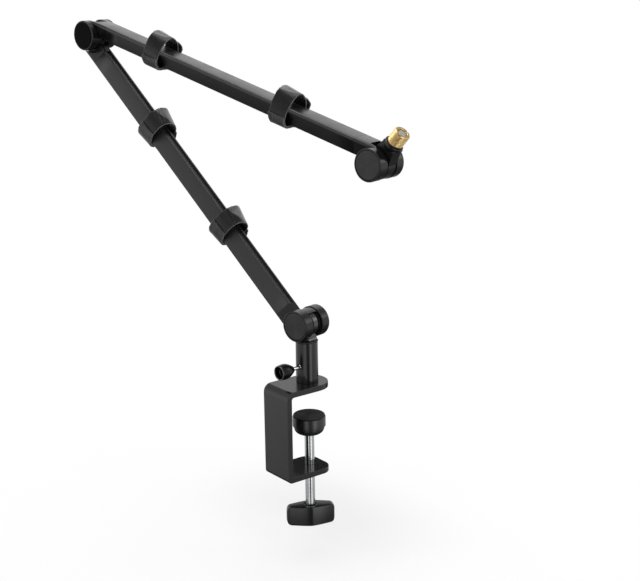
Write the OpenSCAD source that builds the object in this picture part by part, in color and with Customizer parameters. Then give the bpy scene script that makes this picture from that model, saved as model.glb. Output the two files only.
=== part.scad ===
// Desk boom arm for a microphone: screw clamp, swivel post, two folding arms and a threaded tip.
// Millimetres. The origin is on the post's axis at the face that rests on the desk top.
// +Z runs up the post, +Y runs along the clamp's jaws over the desk, +X runs along the desk's edge.

/* [Pose at rest] */
// Turn of the arms about the post
swivel_deg = 11.7; // [-60:0.1:60]
// Rise of the lower arm above level
lower_rise_deg = 42.4; // [35:0.1:55]
// Droop of the upper arm below level
upper_droop_deg = 14.6; // [0:0.1:20]
// Rise of the threaded tip above level
tip_rise_deg = 48; // [0:1:60]
// Turn of the clamp's handle about its screw
handle_deg = 62.5; // [0:0.5:180]
// Turn of the thumb screw away from the clamp's back plate
thumb_deg = 4.5; // [-10:0.5:10]
// Thickness of the desk that the clamp holds at rest
desk_t = 30; // [15:1:50]

/* [Clamp bracket] */
// Width of the bent flat bar
bar_w = 40.6; // [34:0.1:50]
// Thickness of the bar
bar_t = 5.8; // [4:0.1:8]
// Inside height between the jaws
jaw_gap = 84.5; // [80:0.5:110]
// Inside of the back plate to the post's axis
throat = 34.4; // [28:0.1:45]
// Post's axis to the upper jaw's round tip
jaw_tip = 21; // [14:0.1:24]
// Corner radius of the upper jaw's tip, seen from above
tip_round = 20; // [3:0.5:20]
// Post's axis to the lower jaw's tip
low_jaw_tip = 17; // [14:0.1:24]
// Corner radius of the lower jaw's tip, seen from above
low_tip_round = 13; // [3:0.5:20]
// Outside radius of the upper bend
bend_up = 8.5; // [7:0.1:12]
// Outside radius of the lower bend
bend_down = 4.5; // [2:0.1:8]
// Rounding along the bar's long edges
bar_edge = 0.6; // [0.2:0.1:1.2]

/* [Jaw pad] */
// Thickness of the rubber sheet under the top jaw
jaw_pad_t = 1.6; // [1.2:0.1:2.2]
// How far the rubber stands below the jaw
jaw_pad_proud = 0.6; // [0.4:0.1:1]
// Margin of jaw left round the rubber
jaw_pad_margin = 3.2; // [2:0.1:6]

/* [Post and swivel] */
// Outside diameter of the post
post_d = 22.5; // [20:0.1:26]
// Height of the hinge axis above the desk face
hinge_z = 67.2; // [60:0.1:90]
// Height of the seam between the post and the swivel head
seam_drop = 17.9; // [17.7:0.1:20]
// Diameter of the spindle
spindle_d = 12; // [10:0.5:13]
// Wall of the nylon bushing
bushing_wall = 2; // [1.5:0.1:2.5]
// Thickness of the bushing's flange
bushing_flange_t = 0.8; // [0.6:0.1:1.2]
// Thickness of the post's closed foot
post_foot_t = 8; // [6:0.5:9]
// Diameter of the bolt that holds the post
post_bolt_d = 8; // [6:1:8]

/* [Thumb screw] */
// Height of the thumb screw above the desk face
thumb_z = 23; // [21:0.5:30]
// Diameter of the thumb screw's rod
thumb_rod_d = 5; // [4:0.5:6]
// Post's surface to the back of the knob
thumb_stem = 8.2; // [6:0.1:12]
// Length of the knob
knob_len = 18; // [12:0.5:24]
// Largest diameter of the knob
knob_d = 16; // [12:0.5:20]
// Diameter of the knob's small end
knob_neck_d = 7; // [6.6:0.1:9]
// Depth of the hollow in the knob's face
knob_cup = 5; // [3:0.5:8]
// Depth of the groove round the spindle
lock_groove = 1.4; // [1:0.1:2]

/* [Clamp screw] */
// Post's axis to the clamp screw's axis, along the jaws
screw_y = 1.4; // [0:0.1:4]
// Diameter of the clamp screw
screw_d = 10; // [8:0.5:12]
// Underside of the pressure pad to the underside of the handle
screw_reach = 100; // [96:0.5:120]
// Length of the handle across its wings
handle_len = 50; // [40:0.5:64]
// Height of the handle
handle_h = 21; // [16:0.5:26]
// Thickness of the handle at its middle
handle_mid = 21; // [18:0.5:26]
// Thickness of the handle at its ends
handle_end = 8; // [6:0.5:12]
// Corner radius of the handle's wings
handle_round = 5; // [2:0.5:8]

/* [Pressure pad] */
// Diameter of the pressure pad
pad_d = 34; // [28:0.5:38]
// Height of the pad without its liner
pad_h = 18.5; // [17:0.5:24]
// Height of the pad's straight rim
pad_rim_h = 10.5; // [8:0.5:12]
// Thickness of the rubber liner on the pad
liner_t = 1.5; // [1:0.1:2.5]

/* [Hinges] */
// Diameter of the hinge discs
joint_d = 31.6; // [30:0.1:33]
// Width of a hinge over both discs
joint_w = 35; // [33:0.1:38]
// Space between the two discs
fork_gap = 13.8; // [12.5:0.1:14.5]
// Diameter of the barrel in the base hinge and in the elbow
barrel_d = 26; // [25:0.2:30]
// Width of the base hinge's barrel between its narrower shoulders
barrel_w = 6.8; // [5:0.2:12]
// Diameter of those shoulders
barrel_shoulder_d = 20; // [18:0.2:25]
// How far the base fork's hood reaches round the barrel, in degrees from the arm
hood_deg = 80; // [40:1:95]
// Thickness of a friction washer
friction_t = 0.9; // [0.6:0.1:1.1]
// Diameter of a friction washer
friction_d = 24; // [18:0.5:26]
// Diameter of the hinge bolt's shoulder
hinge_bolt_d = 8; // [7:0.5:9]
// Diameter of the hinge bolt's head
bolt_head_d = 13; // [12:0.5:14]
// Thickness of the bolt's head
bolt_head_t = 4; // [3:0.1:4.4]
// Thickness of the disc spring under the nut
spring_t = 1.1; // [0.8:0.1:1.2]
// Thickness of the nut
nut_t = 3.2; // [2.5:0.1:3.4]
// Width of the nut across its corners
nut_d = 11.5; // [10:0.1:13]
// Wall of a disc under its bolt head
ear_web = 4; // [3:0.1:4.6]
// Diameter of a hinge cap
cap_d = 28.4; // [26:0.1:29]
// Thickness of a hinge cap
cap_t = 1.8; // [1.4:0.1:2.2]
// Rounding of the discs' rims
rim_round = 0.8; // [0.4:0.1:1.2]

/* [Arms] */
// Hinge to hinge on each arm
arm_reach = 405.4; // [360:0.1:450]
// Width of the arm's outer face
arm_w_out = 23; // [22:0.1:24]
// Width of the arm's inner face
arm_w_in = 11.2; // [10.8:0.1:12.4]
// Hinge axis to the outer face
arm_out = 17.4; // [17:0.1:17.8]
// Hinge axis to the inner face, past the axis
arm_in = 0.7; // [0.5:0.1:1.2]
// Radius of the outer face's crown
crown_r = 120; // [80:5:300]
// Radius of the outer corners
round_out = 2.6; // [2.2:0.1:3]
// Radius of the inner corners
round_in = 2; // [1.8:0.1:2.4]
// Wall of the arm tube
arm_wall = 1.5; // [1.2:0.1:1.7]
// Width of the cable groove in the inner face
groove_w = 5.2; // [4.6:0.1:6]
// Depth of the cable groove
groove_deep = 2.2; // [1.6:0.1:2.8]
// Hinge axis to the end of the tube
head_len = 26; // [24:0.5:32]
// Length of a head's spigot in the tube
spigot_len = 18; // [16:0.5:26]
// Diameter of the grub screws that lock the heads
grub_d = 4; // [3:0.5:4.5]

/* [Straps] */
// Width of a hook-and-loop strap
strap_w = 20; // [16:0.5:24]
// Thickness of a strap
strap_t = 1.6; // [1.2:0.1:2]
// Lower arm's straps, from the base hinge
strap_1_at = 272; // [240:1:320]
// Second strap of the lower arm, from the base hinge
strap_2_at = 134; // [100:1:180]
// Upper arm's straps, from the elbow
strap_3_at = 103; // [80:1:140]
// Second strap of the upper arm, from the elbow
strap_4_at = 286; // [240:1:320]
// A lower arm's strap loop, from the arm's middle to its near side
low_loop_near = 17.4; // [16:0.1:21]
// The same to its far side
low_loop_far = 18.6; // [16:0.1:21]
// Half height of a lower arm's strap loop
low_loop_z = 19.7; // [18:0.1:24]
// Middle of the lower arm's loops above the hinge line
low_loop_mid = 5.4; // [4:0.1:7]
// How far the free half of a lower loop leans across
low_loop_lean = -1.2; // [-3:0.1:3]
// An upper arm's strap loop, from the arm's middle to its near side
up_loop_near = 14.3; // [14:0.1:20]
// The same to its far side
up_loop_far = 15.6; // [14:0.1:20]
// Half height of an upper arm's strap loop
up_loop_z = 17; // [15:0.1:20]
// How far the free half of an upper loop leans across
up_loop_lean = 2.2; // [-3:0.1:3]

/* [Tip] */
// Hinge axis to the tip's shoulder
tip_len = 27; // [24:0.5:34]
// Diameter of the tip's shoulder
shoulder_d = 19; // [17:0.5:22]
// Thickness of the tip's shoulder
shoulder_t = 3; // [2:0.5:5]
// Diameter of the threaded stud, three eighths of an inch
stud_d = 9.5; // [8:0.1:10]
// Outside diameter of the thread adapter, five eighths of an inch
adapter_d = 15.9; // [14:0.1:17]
// Length of the thread adapter
adapter_len = 14; // [10:0.5:18]

/* [Hidden] */
$fn = 96;

// Gap between pieces of one body that sit in each other
seat = 0.05;
// Radial gap of a turning fit
run = 0.05;
// Gap between a moving face and the face it slides along
slip = 0.1;
// Gap between a strap and the arm it lies on
lie = 0.15;
// Over-cut that keeps boolean faces apart
eps = 1;

// Clamp levels
jaw_under = jaw_pad_proud;
jaw_top = jaw_under + bar_t;
low_jaw_top = jaw_under - jaw_gap;
low_jaw_under = low_jaw_top - bar_t;
back_in = -throat;
back_out = -throat - bar_t;

// Post and swivel levels
post_r = post_d / 2;
seam_z = hinge_z - seam_drop;
bush_r = spindle_d / 2 + run;
post_bore_r = bush_r + bushing_wall + seat;
post_floor = jaw_top + post_foot_t;
spindle_r = spindle_d / 2;
spindle_end = post_floor + 1.5;
flange_top = seam_z + 0.8;

// Hinge sizes
joint_r = joint_d / 2;
ear_in = fork_gap / 2;
ear_out = joint_w / 2;
pocket_y = ear_in + ear_web;
cap_floor = ear_out - cap_t - seat;
cap_r = cap_d / 2;
pocket_r = bolt_head_d / 2 + 3;
hinge_r = hinge_bolt_d / 2;
thread_r = hinge_r - 1;
tongue_half = ear_in - friction_t - slip;
tongue_r = joint_r - 0.4;
barrel_r = barrel_d / 2;
slot_r = joint_r + 0.8;
swing_r = joint_r + 1.4;
skin_x = 9.5;

// Arm section
wall_floor = -arm_in + groove_deep + arm_wall;
co = [arm_w_out / 2 - round_out,
      arm_out - crown_r + sqrt(pow(crown_r - round_out, 2) - pow(arm_w_out / 2 - round_out, 2))];
ci = [arm_w_in / 2 - round_in, -arm_in + round_in];
flank_a = atan2(co[1] - ci[1], co[0] - ci[0]) - acos((round_in - round_out) / norm(co - ci));
crown_a = atan2(co[1] - arm_out + crown_r, co[0]);

// Hinge places in the plane of the arms
elbow_at = arm_reach * [-cos(lower_rise_deg), 0, sin(lower_rise_deg)];
tip_at = elbow_at + arm_reach * [cos(upper_droop_deg), 0, -sin(upper_droop_deg)];

// Clamp screw levels
pad_top = -desk_t;
pad_under = pad_top - liner_t - pad_h;
handle_under = pad_under - screw_reach;
handle_top = handle_under + handle_h;
screw_r = screw_d / 2;
screw_neck_r = screw_r - 1.5;
pad_bore_top = pad_under + 9;

// Thumb screw places along its own axis, from the post's axis
thumb_r = thumb_rod_d / 2;
groove_r = spindle_r - lock_groove;
tip_start = groove_r + slip;
tip_end = spindle_r + 1.6;
knob_back = post_r + thumb_stem;
knob_front = knob_back + knob_len;

function arc_pts(c, r, a0, a1, n) =
    [for (i = [0:n]) c + r * [cos(a0 + (a1 - a0) * i / n), sin(a0 + (a1 - a0) * i / n)]];

// Outline of the arm's section, g inside its outer surface
function arm_outline(g) = let (
    right = concat(
        arc_pts(ci, round_in - g, -90, flank_a, 5),
        arc_pts(co, round_out - g, flank_a, crown_a, 6)),
    crown = arc_pts([0, arm_out - crown_r], crown_r - g, crown_a, 180 - crown_a, 8)
) concat(
    right,
    [for (i = [1:len(crown) - 2]) crown[i]],
    [for (i = [len(right) - 1:-1:0]) [-right[i][0], right[i][1]]]);

// Points of an ellipse round [0, mid], with any below the floor line lifted onto it
// A loop that leans across by 'lean' on its upper (side 1) or lower (side -1) half
function loop_pts(near, far, half_z, mid, lean, side, flat_z, flat_y) =
    [for (i = [0:47]) let (
            c = cos(i * 7.5),
            h = sin(i * 7.5),
            y = (c < 0 ? near : far) * c + lean * max(0, side * h),
            z = mid + half_z * h)
        [y, (abs(y) < flat_y && z < mid) ? min(z, flat_z) : z]];

module on_post() { translate([0, 0, hinge_z]) rotate([0, 0, swivel_deg]) children(); }
module on_lower() { on_post() rotate([0, 180 + lower_rise_deg, 0]) children(); }
module at_elbow_lower() { on_lower() translate([arm_reach, 0, 0]) mirror([1, 0, 0]) children(); }
module on_upper() { on_post() translate(elbow_at) rotate([0, upper_droop_deg, 0]) children(); }
module at_tip_upper() { on_upper() translate([arm_reach, 0, 0]) mirror([1, 0, 0]) children(); }
module on_tip() { on_post() translate(tip_at) rotate([0, -tip_rise_deg, 0]) children(); }
module on_screw() { translate([0, screw_y, 0]) children(); }
// The thumb screw's axis becomes +X, pointing away from the post
module on_thumb() { translate([0, 0, thumb_z]) rotate([0, 0, thumb_deg - 90]) children(); }

// An outline in Y and Z, drawn out along X
module along_x(x0, x1) { translate([x0, 0, 0]) rotate([90, 0, 90]) linear_extrude(x1 - x0) children(); }
// An outline in X and Z, drawn out along Y
module along_y(y0, y1) { translate([0, y1, 0]) rotate([90, 0, 0]) linear_extrude(y1 - y0) children(); }
// A cylinder along Y
module disc_y(r, y0, y1) { translate([0, y1, 0]) rotate([90, 0, 0]) cylinder(r = r, h = y1 - y0); }
// A profile in radius and Y, turned about Y
module turned_y(points) { rotate([-90, 0, 0]) rotate_extrude() polygon(points); }
// A profile in radius and X, turned about X
module turned_x(points) { rotate([0, 90, 0]) rotate_extrude() polygon(points); }
module both_sides() {
    children();
    mirror([0, 1, 0]) children();
}

module bracket_profile() {
    inner_up = max(bend_up - bar_t, 0.5);
    inner_down = max(bend_down - bar_t, 0.5);
    far = max(jaw_tip, low_jaw_tip) + eps;
    difference() {
        // Outer outline in Y and Z, open towards +Y
        polygon(concat(
            [[far, low_jaw_under], [far, jaw_top]],
            arc_pts([back_out + bend_up, jaw_top - bend_up], bend_up, 90, 180, 10),
            arc_pts([back_out + bend_down, low_jaw_under + bend_down], bend_down, 180, 270, 8)));
        polygon(concat(
            [[far + eps, low_jaw_top], [far + eps, jaw_under]],
            arc_pts([back_in + inner_up, jaw_under - inner_up], inner_up, 90, 180, 6),
            arc_pts([back_in + inner_down, low_jaw_top + inner_down], inner_down, 180, 270, 6)));
    }
}

// Outline of the bar seen from above, with a rounded tip
module jaw_plan(tip, r) {
    w = bar_w / 2;
    y0 = back_out - 2 * eps;
    polygon(concat(
        [[-w, y0], [w, y0]],
        arc_pts([w - r, tip - r], r, 0, 90, 14),
        arc_pts([r - w, tip - r], r, 90, 180, 14)));
}

module clamp_bracket() {
    plan_top = jaw_top + eps;
    color("#2b2c2e") difference() {
        intersection() {
            along_x(-bar_w / 2, bar_w / 2) bracket_profile();
            union() {
                translate([0, 0, low_jaw_under - eps])
                    linear_extrude(jaw_gap / 2 + bar_t + eps) jaw_plan(low_jaw_tip, low_tip_round);
                translate([0, 0, jaw_under - jaw_gap / 2])
                    linear_extrude(plan_top - jaw_under + jaw_gap / 2) jaw_plan(jaw_tip, tip_round);
            }
        }
        // Recess for the rubber, the post bolt's hole with its countersink, and the screw's threaded hole
        translate([0, 0, jaw_under - eps])
            linear_extrude(jaw_pad_t - jaw_pad_proud + eps) jaw_pad_plan(seat);
        cylinder(r = post_bolt_d / 2 + seat, h = jaw_top + eps);
        translate([0, 0, jaw_pad_t - eps]) cylinder(r = post_bolt_d - 0.6 + seat, h = 1 + eps);
        translate([0, 0, jaw_pad_t + 1])
            cylinder(r1 = post_bolt_d - 0.6 + seat, r2 = post_bolt_d / 2 + seat, h = 2.6);
        on_screw() translate([0, 0, low_jaw_under - eps]) cylinder(r = screw_r + run, h = bar_t + 2 * eps);
    }
}

module jaw_pad_plan(grow) {
    w = bar_w / 2 - jaw_pad_margin + grow;
    r = max(tip_round - jaw_pad_margin, 1) + grow;
    y0 = back_in + jaw_pad_margin + 2 - grow;
    y1 = jaw_tip - jaw_pad_margin + grow;
    polygon(concat(
        arc_pts([w - 2, y0 + 2], 2, -90, 0, 5),
        arc_pts([w - r, y1 - r], r, 0, 90, 8),
        arc_pts([r - w, y1 - r], r, 90, 180, 8),
        arc_pts([2 - w, y0 + 2], 2, 180, 270, 5)));
}

module jaw_pad() {
    color("#1a1a1b") linear_extrude(jaw_pad_t - seat) jaw_pad_plan(0);
}

module post() {
    foot = 0.5;
    color("#242527") difference() {
        rotate_extrude() polygon([
            [0, jaw_top], [post_r - foot, jaw_top], [post_r - foot, jaw_top + foot],
            [post_r, jaw_top + foot], [post_r, seam_z - bushing_flange_t - 0.3],
            [post_r - 0.3, seam_z - bushing_flange_t], [0, seam_z - bushing_flange_t]]);
        translate([0, 0, post_floor]) cylinder(r = post_bore_r, h = seam_z);
        translate([0, 0, jaw_top - eps]) cylinder(r = post_bolt_d / 2 + seat, h = post_foot_t + 2 * eps);
        on_thumb() rotate([0, 90, 0]) cylinder(r = thumb_r + run, h = post_r + eps);
        // Countersink at the mouth of the thumb screw's hole
        on_thumb() translate([post_r - 0.8, 0, 0]) rotate([0, 90, 0])
            cylinder(r1 = thumb_r + run, r2 = thumb_r + 2, h = 1.6);
    }
}

module post_bolt() {
    head_r = post_bolt_d - 0.6;
    color("#8d9094") difference() {
        rotate_extrude() polygon([
            [0, jaw_pad_t], [head_r, jaw_pad_t], [head_r, jaw_pad_t + 1],
            [post_bolt_d / 2, jaw_pad_t + 3.6], [post_bolt_d / 2, post_floor - 0.4],
            [post_bolt_d / 2 - 0.4, post_floor], [0, post_floor]]);
        translate([0, 0, jaw_pad_t - eps]) cylinder(r = 2.9, h = 2 + eps, $fn = 6);
    }
}

module bushing() {
    outer = bush_r + bushing_wall;
    color("#101011") difference() {
        union() {
            translate([0, 0, post_floor]) cylinder(r = outer, h = seam_z - post_floor - eps / 2);
            translate([0, 0, seam_z - bushing_flange_t]) cylinder(r = post_r - 0.4, h = bushing_flange_t - slip);
        }
        translate([0, 0, post_floor - eps]) cylinder(r = bush_r, h = seam_z);
        on_thumb() rotate([0, 90, 0]) cylinder(r = thumb_r + 0.4, h = post_r);
    }
}

module spindle() {
    color("#b9bcc0") difference() {
        rotate_extrude() polygon([
            [0, spindle_end], [spindle_r - 0.6, spindle_end], [spindle_r, spindle_end + 0.6],
            [spindle_r, thumb_z - 3.6], [groove_r, thumb_z - 2.9], [groove_r, thumb_z + 2.9],
            [spindle_r, thumb_z + 3.6], [spindle_r, seam_z], [spindle_r - 1.5, seam_z],
            [spindle_r - 1.5, seam_z + 8], [0, seam_z + 8]]);
        translate([0, 0, spindle_end - eps]) cylinder(r = 1.2, h = 3 + eps);
    }
}

module tongue_disc(r) {
    e = 0.5;
    turned_y([[0, -tongue_half], [r - e, -tongue_half], [r, e - tongue_half],
              [r, tongue_half - e], [r - e, tongue_half], [0, tongue_half]]);
}

module swivel_head() {
    neck = 7;
    drop = flange_top - hinge_z;
    color("#1b1c1e") difference() {
        union() {
            on_post() tongue_disc(barrel_shoulder_d / 2);
            on_post() turned_y([
                [0, -barrel_w / 2], [barrel_r - 0.5, -barrel_w / 2], [barrel_r, 0.5 - barrel_w / 2],
                [barrel_r, barrel_w / 2 - 0.5], [barrel_r - 0.5, barrel_w / 2], [0, barrel_w / 2]]);
            on_post() along_y(-tongue_half, tongue_half)
                polygon(concat(
                    [[-neck, 0], [-neck, drop - 0.4], [post_r - 0.6, drop - 0.4]],
                    arc_pts([post_r - 0.6 + 2.6, drop + 4.6], 5.3, 240, 195, 4),
                    [[neck, 0]]));
            // Flange on the bushing, coned up towards the neck
            rotate_extrude() polygon([
                [0, seam_z], [post_r - 0.3, seam_z], [post_r, seam_z + 0.3],
                [post_r, flange_top - 0.3], [post_r - 0.4, flange_top], [0, flange_top]]);
        }
        on_post() disc_y(hinge_r + run, -ear_out, ear_out);
        cylinder(r = spindle_r - 1.5 + seat, h = seam_z + 8.2);
    }
}

// A hinge disc on the +Y side, with its cap seat, bolt pocket and bore
module ear_blank() {
    e = 0.4;
    turned_y(concat(
        [[0, ear_in], [joint_r - e, ear_in], [joint_r, ear_in + e]],
        arc_pts([joint_r - rim_round, ear_out - rim_round], rim_round, 0, 90, 5),
        [[0, ear_out]]));
}

module ear_pockets() {
    both_sides() {
        disc_y(cap_r + seat, cap_floor, ear_out + eps);
        disc_y(pocket_r, pocket_y, cap_floor + eps / 2);
    }
}

// The arm's section carried over the hinge end, with its outer face brought down to the disc's radius r
module arm_block(r) {
    intersection() {
        along_x(0, head_len) polygon(arm_outline(0));
        along_y(-arm_w_out, arm_w_out) polygon([
            [0, -arm_in - eps], [head_len, -arm_in - eps], [head_len, arm_out + eps],
            [skin_x + 1, arm_out + eps], [skin_x + 1, arm_out], [0, r]]);
    }
}

module spigot() {
    fit = arm_wall + seat;
    difference() {
        along_x(head_len - eps, head_len + spigot_len) intersection() {
            polygon(arm_outline(fit));
            translate([-arm_w_out, wall_floor + seat]) square([2 * arm_w_out, arm_out]);
        }
        grub_hole();
    }
}

// The grub screw's hole, half way along the spigot, through the groove's floor
module grub_hole() {
    translate([head_len + spigot_len / 2, 0, -arm_in - eps]) cylinder(r = grub_d / 2 + seat, h = wall_floor + 7);
}

module fork_head() {
    difference() {
        union() {
            both_sides() ear_blank();
            arm_block(joint_r);
            spigot();
        }
        disc_y(slot_r, -ear_in, ear_in);
        translate([-slot_r, -ear_in, -slot_r - eps]) cube([slot_r + skin_x, 2 * ear_in, 2 * slot_r + 4 * eps]);
        disc_y(hinge_r + seat, -ear_out, ear_out);
        ear_pockets();
    }
}

// A curved lip between the discs, from the arm's web round the barrel
module fork_hood() {
    along_y(-ear_in - 0.3, ear_in + 0.3) polygon(concat(
        arc_pts([0, 0], joint_r - 0.9, 12, -hood_deg, 12),
        arc_pts([0, 0], barrel_r + 0.5, -hood_deg, 12, 12)));
}

module tongue_head() {
    difference() {
        union() {
            tongue_disc(barrel_r);
            difference() {
                arm_block(barrel_r);
                both_sides() disc_y(swing_r, tongue_half, ear_out + eps);
            }
            spigot();
        }
        disc_y(hinge_r + run, -ear_out, ear_out);
    }
}

module arm_tube() {
    last = arm_reach - head_len;
    difference() {
        along_x(head_len, last) difference() {
            polygon(arm_outline(0));
            translate([-groove_w / 2, -arm_in - eps]) square([groove_w, groove_deep + eps]);
            intersection() {
                polygon(arm_outline(arm_wall));
                translate([-arm_w_out, wall_floor]) square([2 * arm_w_out, arm_out]);
            }
        }
        grub_hole();
        translate([arm_reach, 0, 0]) mirror([1, 0, 0]) grub_hole();
    }
}

module grub_screws() {
    for (x = [head_len + spigot_len / 2, arm_reach - head_len - spigot_len / 2])
        translate([x, 0, groove_deep - arm_in + 0.2]) difference() {
            cylinder(r = grub_d / 2, h = arm_wall + 4);
            translate([0, 0, -eps]) cylinder(r = grub_d / 4, h = 1.6 + eps, $fn = 6);
        }
}

// Shoulder bolt: its head is in the front pocket, its thread in the back one
module hinge_bolt() {
    head = pocket_y + bolt_head_t;
    difference() {
        turned_y([
            [0, -head], [bolt_head_d / 2 - 1, -head], [bolt_head_d / 2, 1 - head],
            [bolt_head_d / 2, -pocket_y], [hinge_r, -pocket_y], [hinge_r, pocket_y],
            [thread_r, pocket_y], [thread_r, pocket_y + spring_t + nut_t + 0.2],
            [0, pocket_y + spring_t + nut_t + 0.2]]);
        translate([0, 2.2 - head, 0]) rotate([90, 0, 0]) cylinder(r = 2.9, h = 2.2 + eps, $fn = 6);
    }
}

module hinge_nut() {
    difference() {
        translate([0, pocket_y + spring_t + nut_t, 0]) rotate([90, 0, 0]) cylinder(r = nut_d / 2, h = nut_t, $fn = 6);
        disc_y(thread_r + seat, pocket_y, ear_out);
    }
}

// A disc spring, slightly coned
module hinge_spring() {
    r0 = thread_r + 0.2;
    r1 = pocket_r - 1.5;
    turned_y([[r0, pocket_y + 0.35], [r1, pocket_y], [r1, pocket_y + 0.7], [r0, pocket_y + spring_t]]);
}

module hinge_washers() {
    both_sides() difference() {
        disc_y(friction_d / 2, ear_in - friction_t, ear_in);
        disc_y(hinge_r + seat, -ear_out, ear_out);
    }
}

// A push-in cap with a short locating ring, for the +Y side
module hinge_cap() {
    ring_r = pocket_r - seat;
    face = ear_out - seat;
    turned_y([
        [0, cap_floor + seat], [ring_r - 1.2, cap_floor + seat], [ring_r - 1.2, cap_floor - 1.4],
        [ring_r, cap_floor - 1.4], [ring_r, cap_floor + seat], [cap_r, cap_floor + seat],
        [cap_r, face - 0.4], [cap_r - 0.4, face], [0, face]]);
}

module strap_band(outer, inner) {
    difference() {
        polygon(outer);
        polygon(inner);
    }
}

// A loose loop that hangs by its underlap, which lies on the arm's outer face
module low_strap(at) {
    lay = arm_out + lie;
    far = low_loop_far - 2.6;
    in_near = low_loop_near - strap_t;
    in_far = low_loop_far - strap_t;
    in_z = low_loop_z - strap_t;
    along_x(at - strap_w / 2, at + strap_w / 2) {
        strap_band(loop_pts(low_loop_near, low_loop_far, low_loop_z, low_loop_mid, low_loop_lean, -1, 0, 0),
                   loop_pts(in_near, in_far, in_z, low_loop_mid, low_loop_lean, -1, 0, 0));
        polygon([
            [far + 0.9, lay - 2], [far - 3.4, lay + 1], [far - 8.2, lay + strap_t], [-7, lay + strap_t],
            [-7, lay], [far - 8.2, lay], [far - 4.4, lay - 0.6], [far - 0.4, lay - 4.4]]);
    }
}

// A loose loop that lies along the arm's inner face
module up_strap(at) {
    lay = -arm_in - lie;
    low = lay - strap_t;
    mid = low + up_loop_z;
    half = arm_w_in / 2 + 0.9;
    in_near = up_loop_near - strap_t;
    in_far = up_loop_far - strap_t;
    in_z = up_loop_z - strap_t;
    along_x(at - strap_w / 2, at + strap_w / 2)
        strap_band(loop_pts(up_loop_near, up_loop_far, up_loop_z, mid, up_loop_lean, 1, low, half + strap_t),
                   loop_pts(in_near, in_far, in_z, mid, up_loop_lean, 1, lay, half));
}

// Swivelling pressure pad: a straight rim over a domed back, with a blind bore for the screw's head
module pressure_pad() {
    r = pad_d / 2;
    dome = pad_h - pad_rim_h;
    on_screw() color("#161617") difference() {
        translate([0, 0, pad_under]) rotate_extrude() polygon(concat(
            [[0, pad_h], [r - 0.6, pad_h], [r, pad_h - 0.6], [r, dome], [r - 1.4, dome]],
            arc_pts([r - 1.4 - dome * 0.8, dome * 0.8], dome * 0.8, 0, -90, 8),
            [[0, 0]]));
        translate([0, 0, pad_under - eps]) cylinder(r = screw_r + 0.35, h = 9 + eps);
        translate([0, 0, pad_under + 1.6]) cylinder(r = screw_r + 1.6 + seat, h = 1.2);
    }
}

module pad_liner() {
    on_screw() color("#2a2a2b") translate([0, 0, pad_top - liner_t]) rotate_extrude() polygon([
        [0, 0], [pad_d / 2 - 0.8, 0], [pad_d / 2 - 0.8, liner_t - 0.4], [pad_d / 2 - 1.2, liner_t], [0, liner_t]]);
}

module pad_clip() {
    on_screw() color("#9a9da1") translate([0, 0, pad_under + 1.65]) difference() {
        cylinder(r = screw_r + 1.6, h = 1.1);
        translate([0, 0, -eps]) cylinder(r = screw_neck_r + 0.3, h = 3);
    }
}

module clamp_screw() {
    end_z = handle_under + 5;
    on_screw() color("#c9ccd0") difference() {
        rotate_extrude() polygon([
            [0, end_z], [screw_r, end_z], [screw_r, pad_under - 0.6], [screw_r - 0.6, pad_under],
            [screw_neck_r, pad_under], [screw_neck_r, pad_under + 4], [screw_r, pad_under + 4.6],
            [screw_r, pad_under + 7], [screw_neck_r, pad_bore_top - 0.3], [0, pad_bore_top - 0.3]]);
        translate([0, 0, end_z - eps]) cylinder(r = 2.5 + seat, h = 14);
    }
}

// Bow-tie handle: two wings that thin out from a hub, rounded at their corners
module handle() {
    half = handle_len / 2;
    on_screw() rotate([0, 0, handle_deg]) color("#232426") difference() {
        intersection() {
            translate([0, 0, handle_under]) linear_extrude(handle_h) polygon([
                [-half, -handle_end / 2], [-1.5, -handle_mid / 2], [1.5, -handle_mid / 2],
                [half, -handle_end / 2], [half, handle_end / 2], [1.5, handle_mid / 2],
                [-1.5, handle_mid / 2], [-half, handle_end / 2]]);
            along_y(-handle_mid, handle_mid) polygon(concat(
                arc_pts([half - handle_round, handle_under + handle_round + 0.8], handle_round, -80, 0, 6),
                arc_pts([half - handle_round, handle_top - handle_round - 0.8], handle_round, 0, 80, 6),
                [[0, handle_top]],
                arc_pts([handle_round - half, handle_top - handle_round - 0.8], handle_round, 100, 180, 6),
                arc_pts([handle_round - half, handle_under + handle_round + 0.8], handle_round, 180, 260, 6),
                [[0, handle_under]]));
        }
        translate([0, 0, handle_under + 5 - seat]) cylinder(r = screw_r + seat, h = handle_h);
        translate([0, 0, handle_top - 1.6]) cylinder(r = screw_r + 1.4, h = 3);
        translate([0, 0, handle_under - eps]) cylinder(r = 2.5 + seat, h = handle_h);
        translate([0, 0, handle_under - eps]) cylinder(r = 4.6, h = 3.2 + eps);
    }
}

module handle_screw() {
    on_screw() color("#8d9094") translate([0, 0, handle_under]) difference() {
        union() {
            translate([0, 0, 0.2]) cylinder(r = 4.5, h = 3);
            translate([0, 0, 3]) cylinder(r = 2.5, h = 13);
        }
        translate([0, 0, -eps]) cylinder(r = 2, h = 1.8 + eps, $fn = 6);
    }
}

module thumb_rod() {
    on_thumb() color("#c9ccd0") turned_x([
        [0, tip_end + slip], [thumb_r, tip_end + slip], [thumb_r, knob_front - knob_cup + 1.4],
        [thumb_r - 0.5, knob_front - knob_cup + 1.9], [0, knob_front - knob_cup + 1.9]]);
}

// Brass tip that the screw pushes into the spindle's groove
module lock_tip() {
    on_thumb() color("#b08d3f") turned_x([
        [0, tip_start], [thumb_r - 1, tip_start], [thumb_r - 0.1, tip_start + 0.9],
        [thumb_r - 0.1, tip_end], [0, tip_end]]);
}

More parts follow.
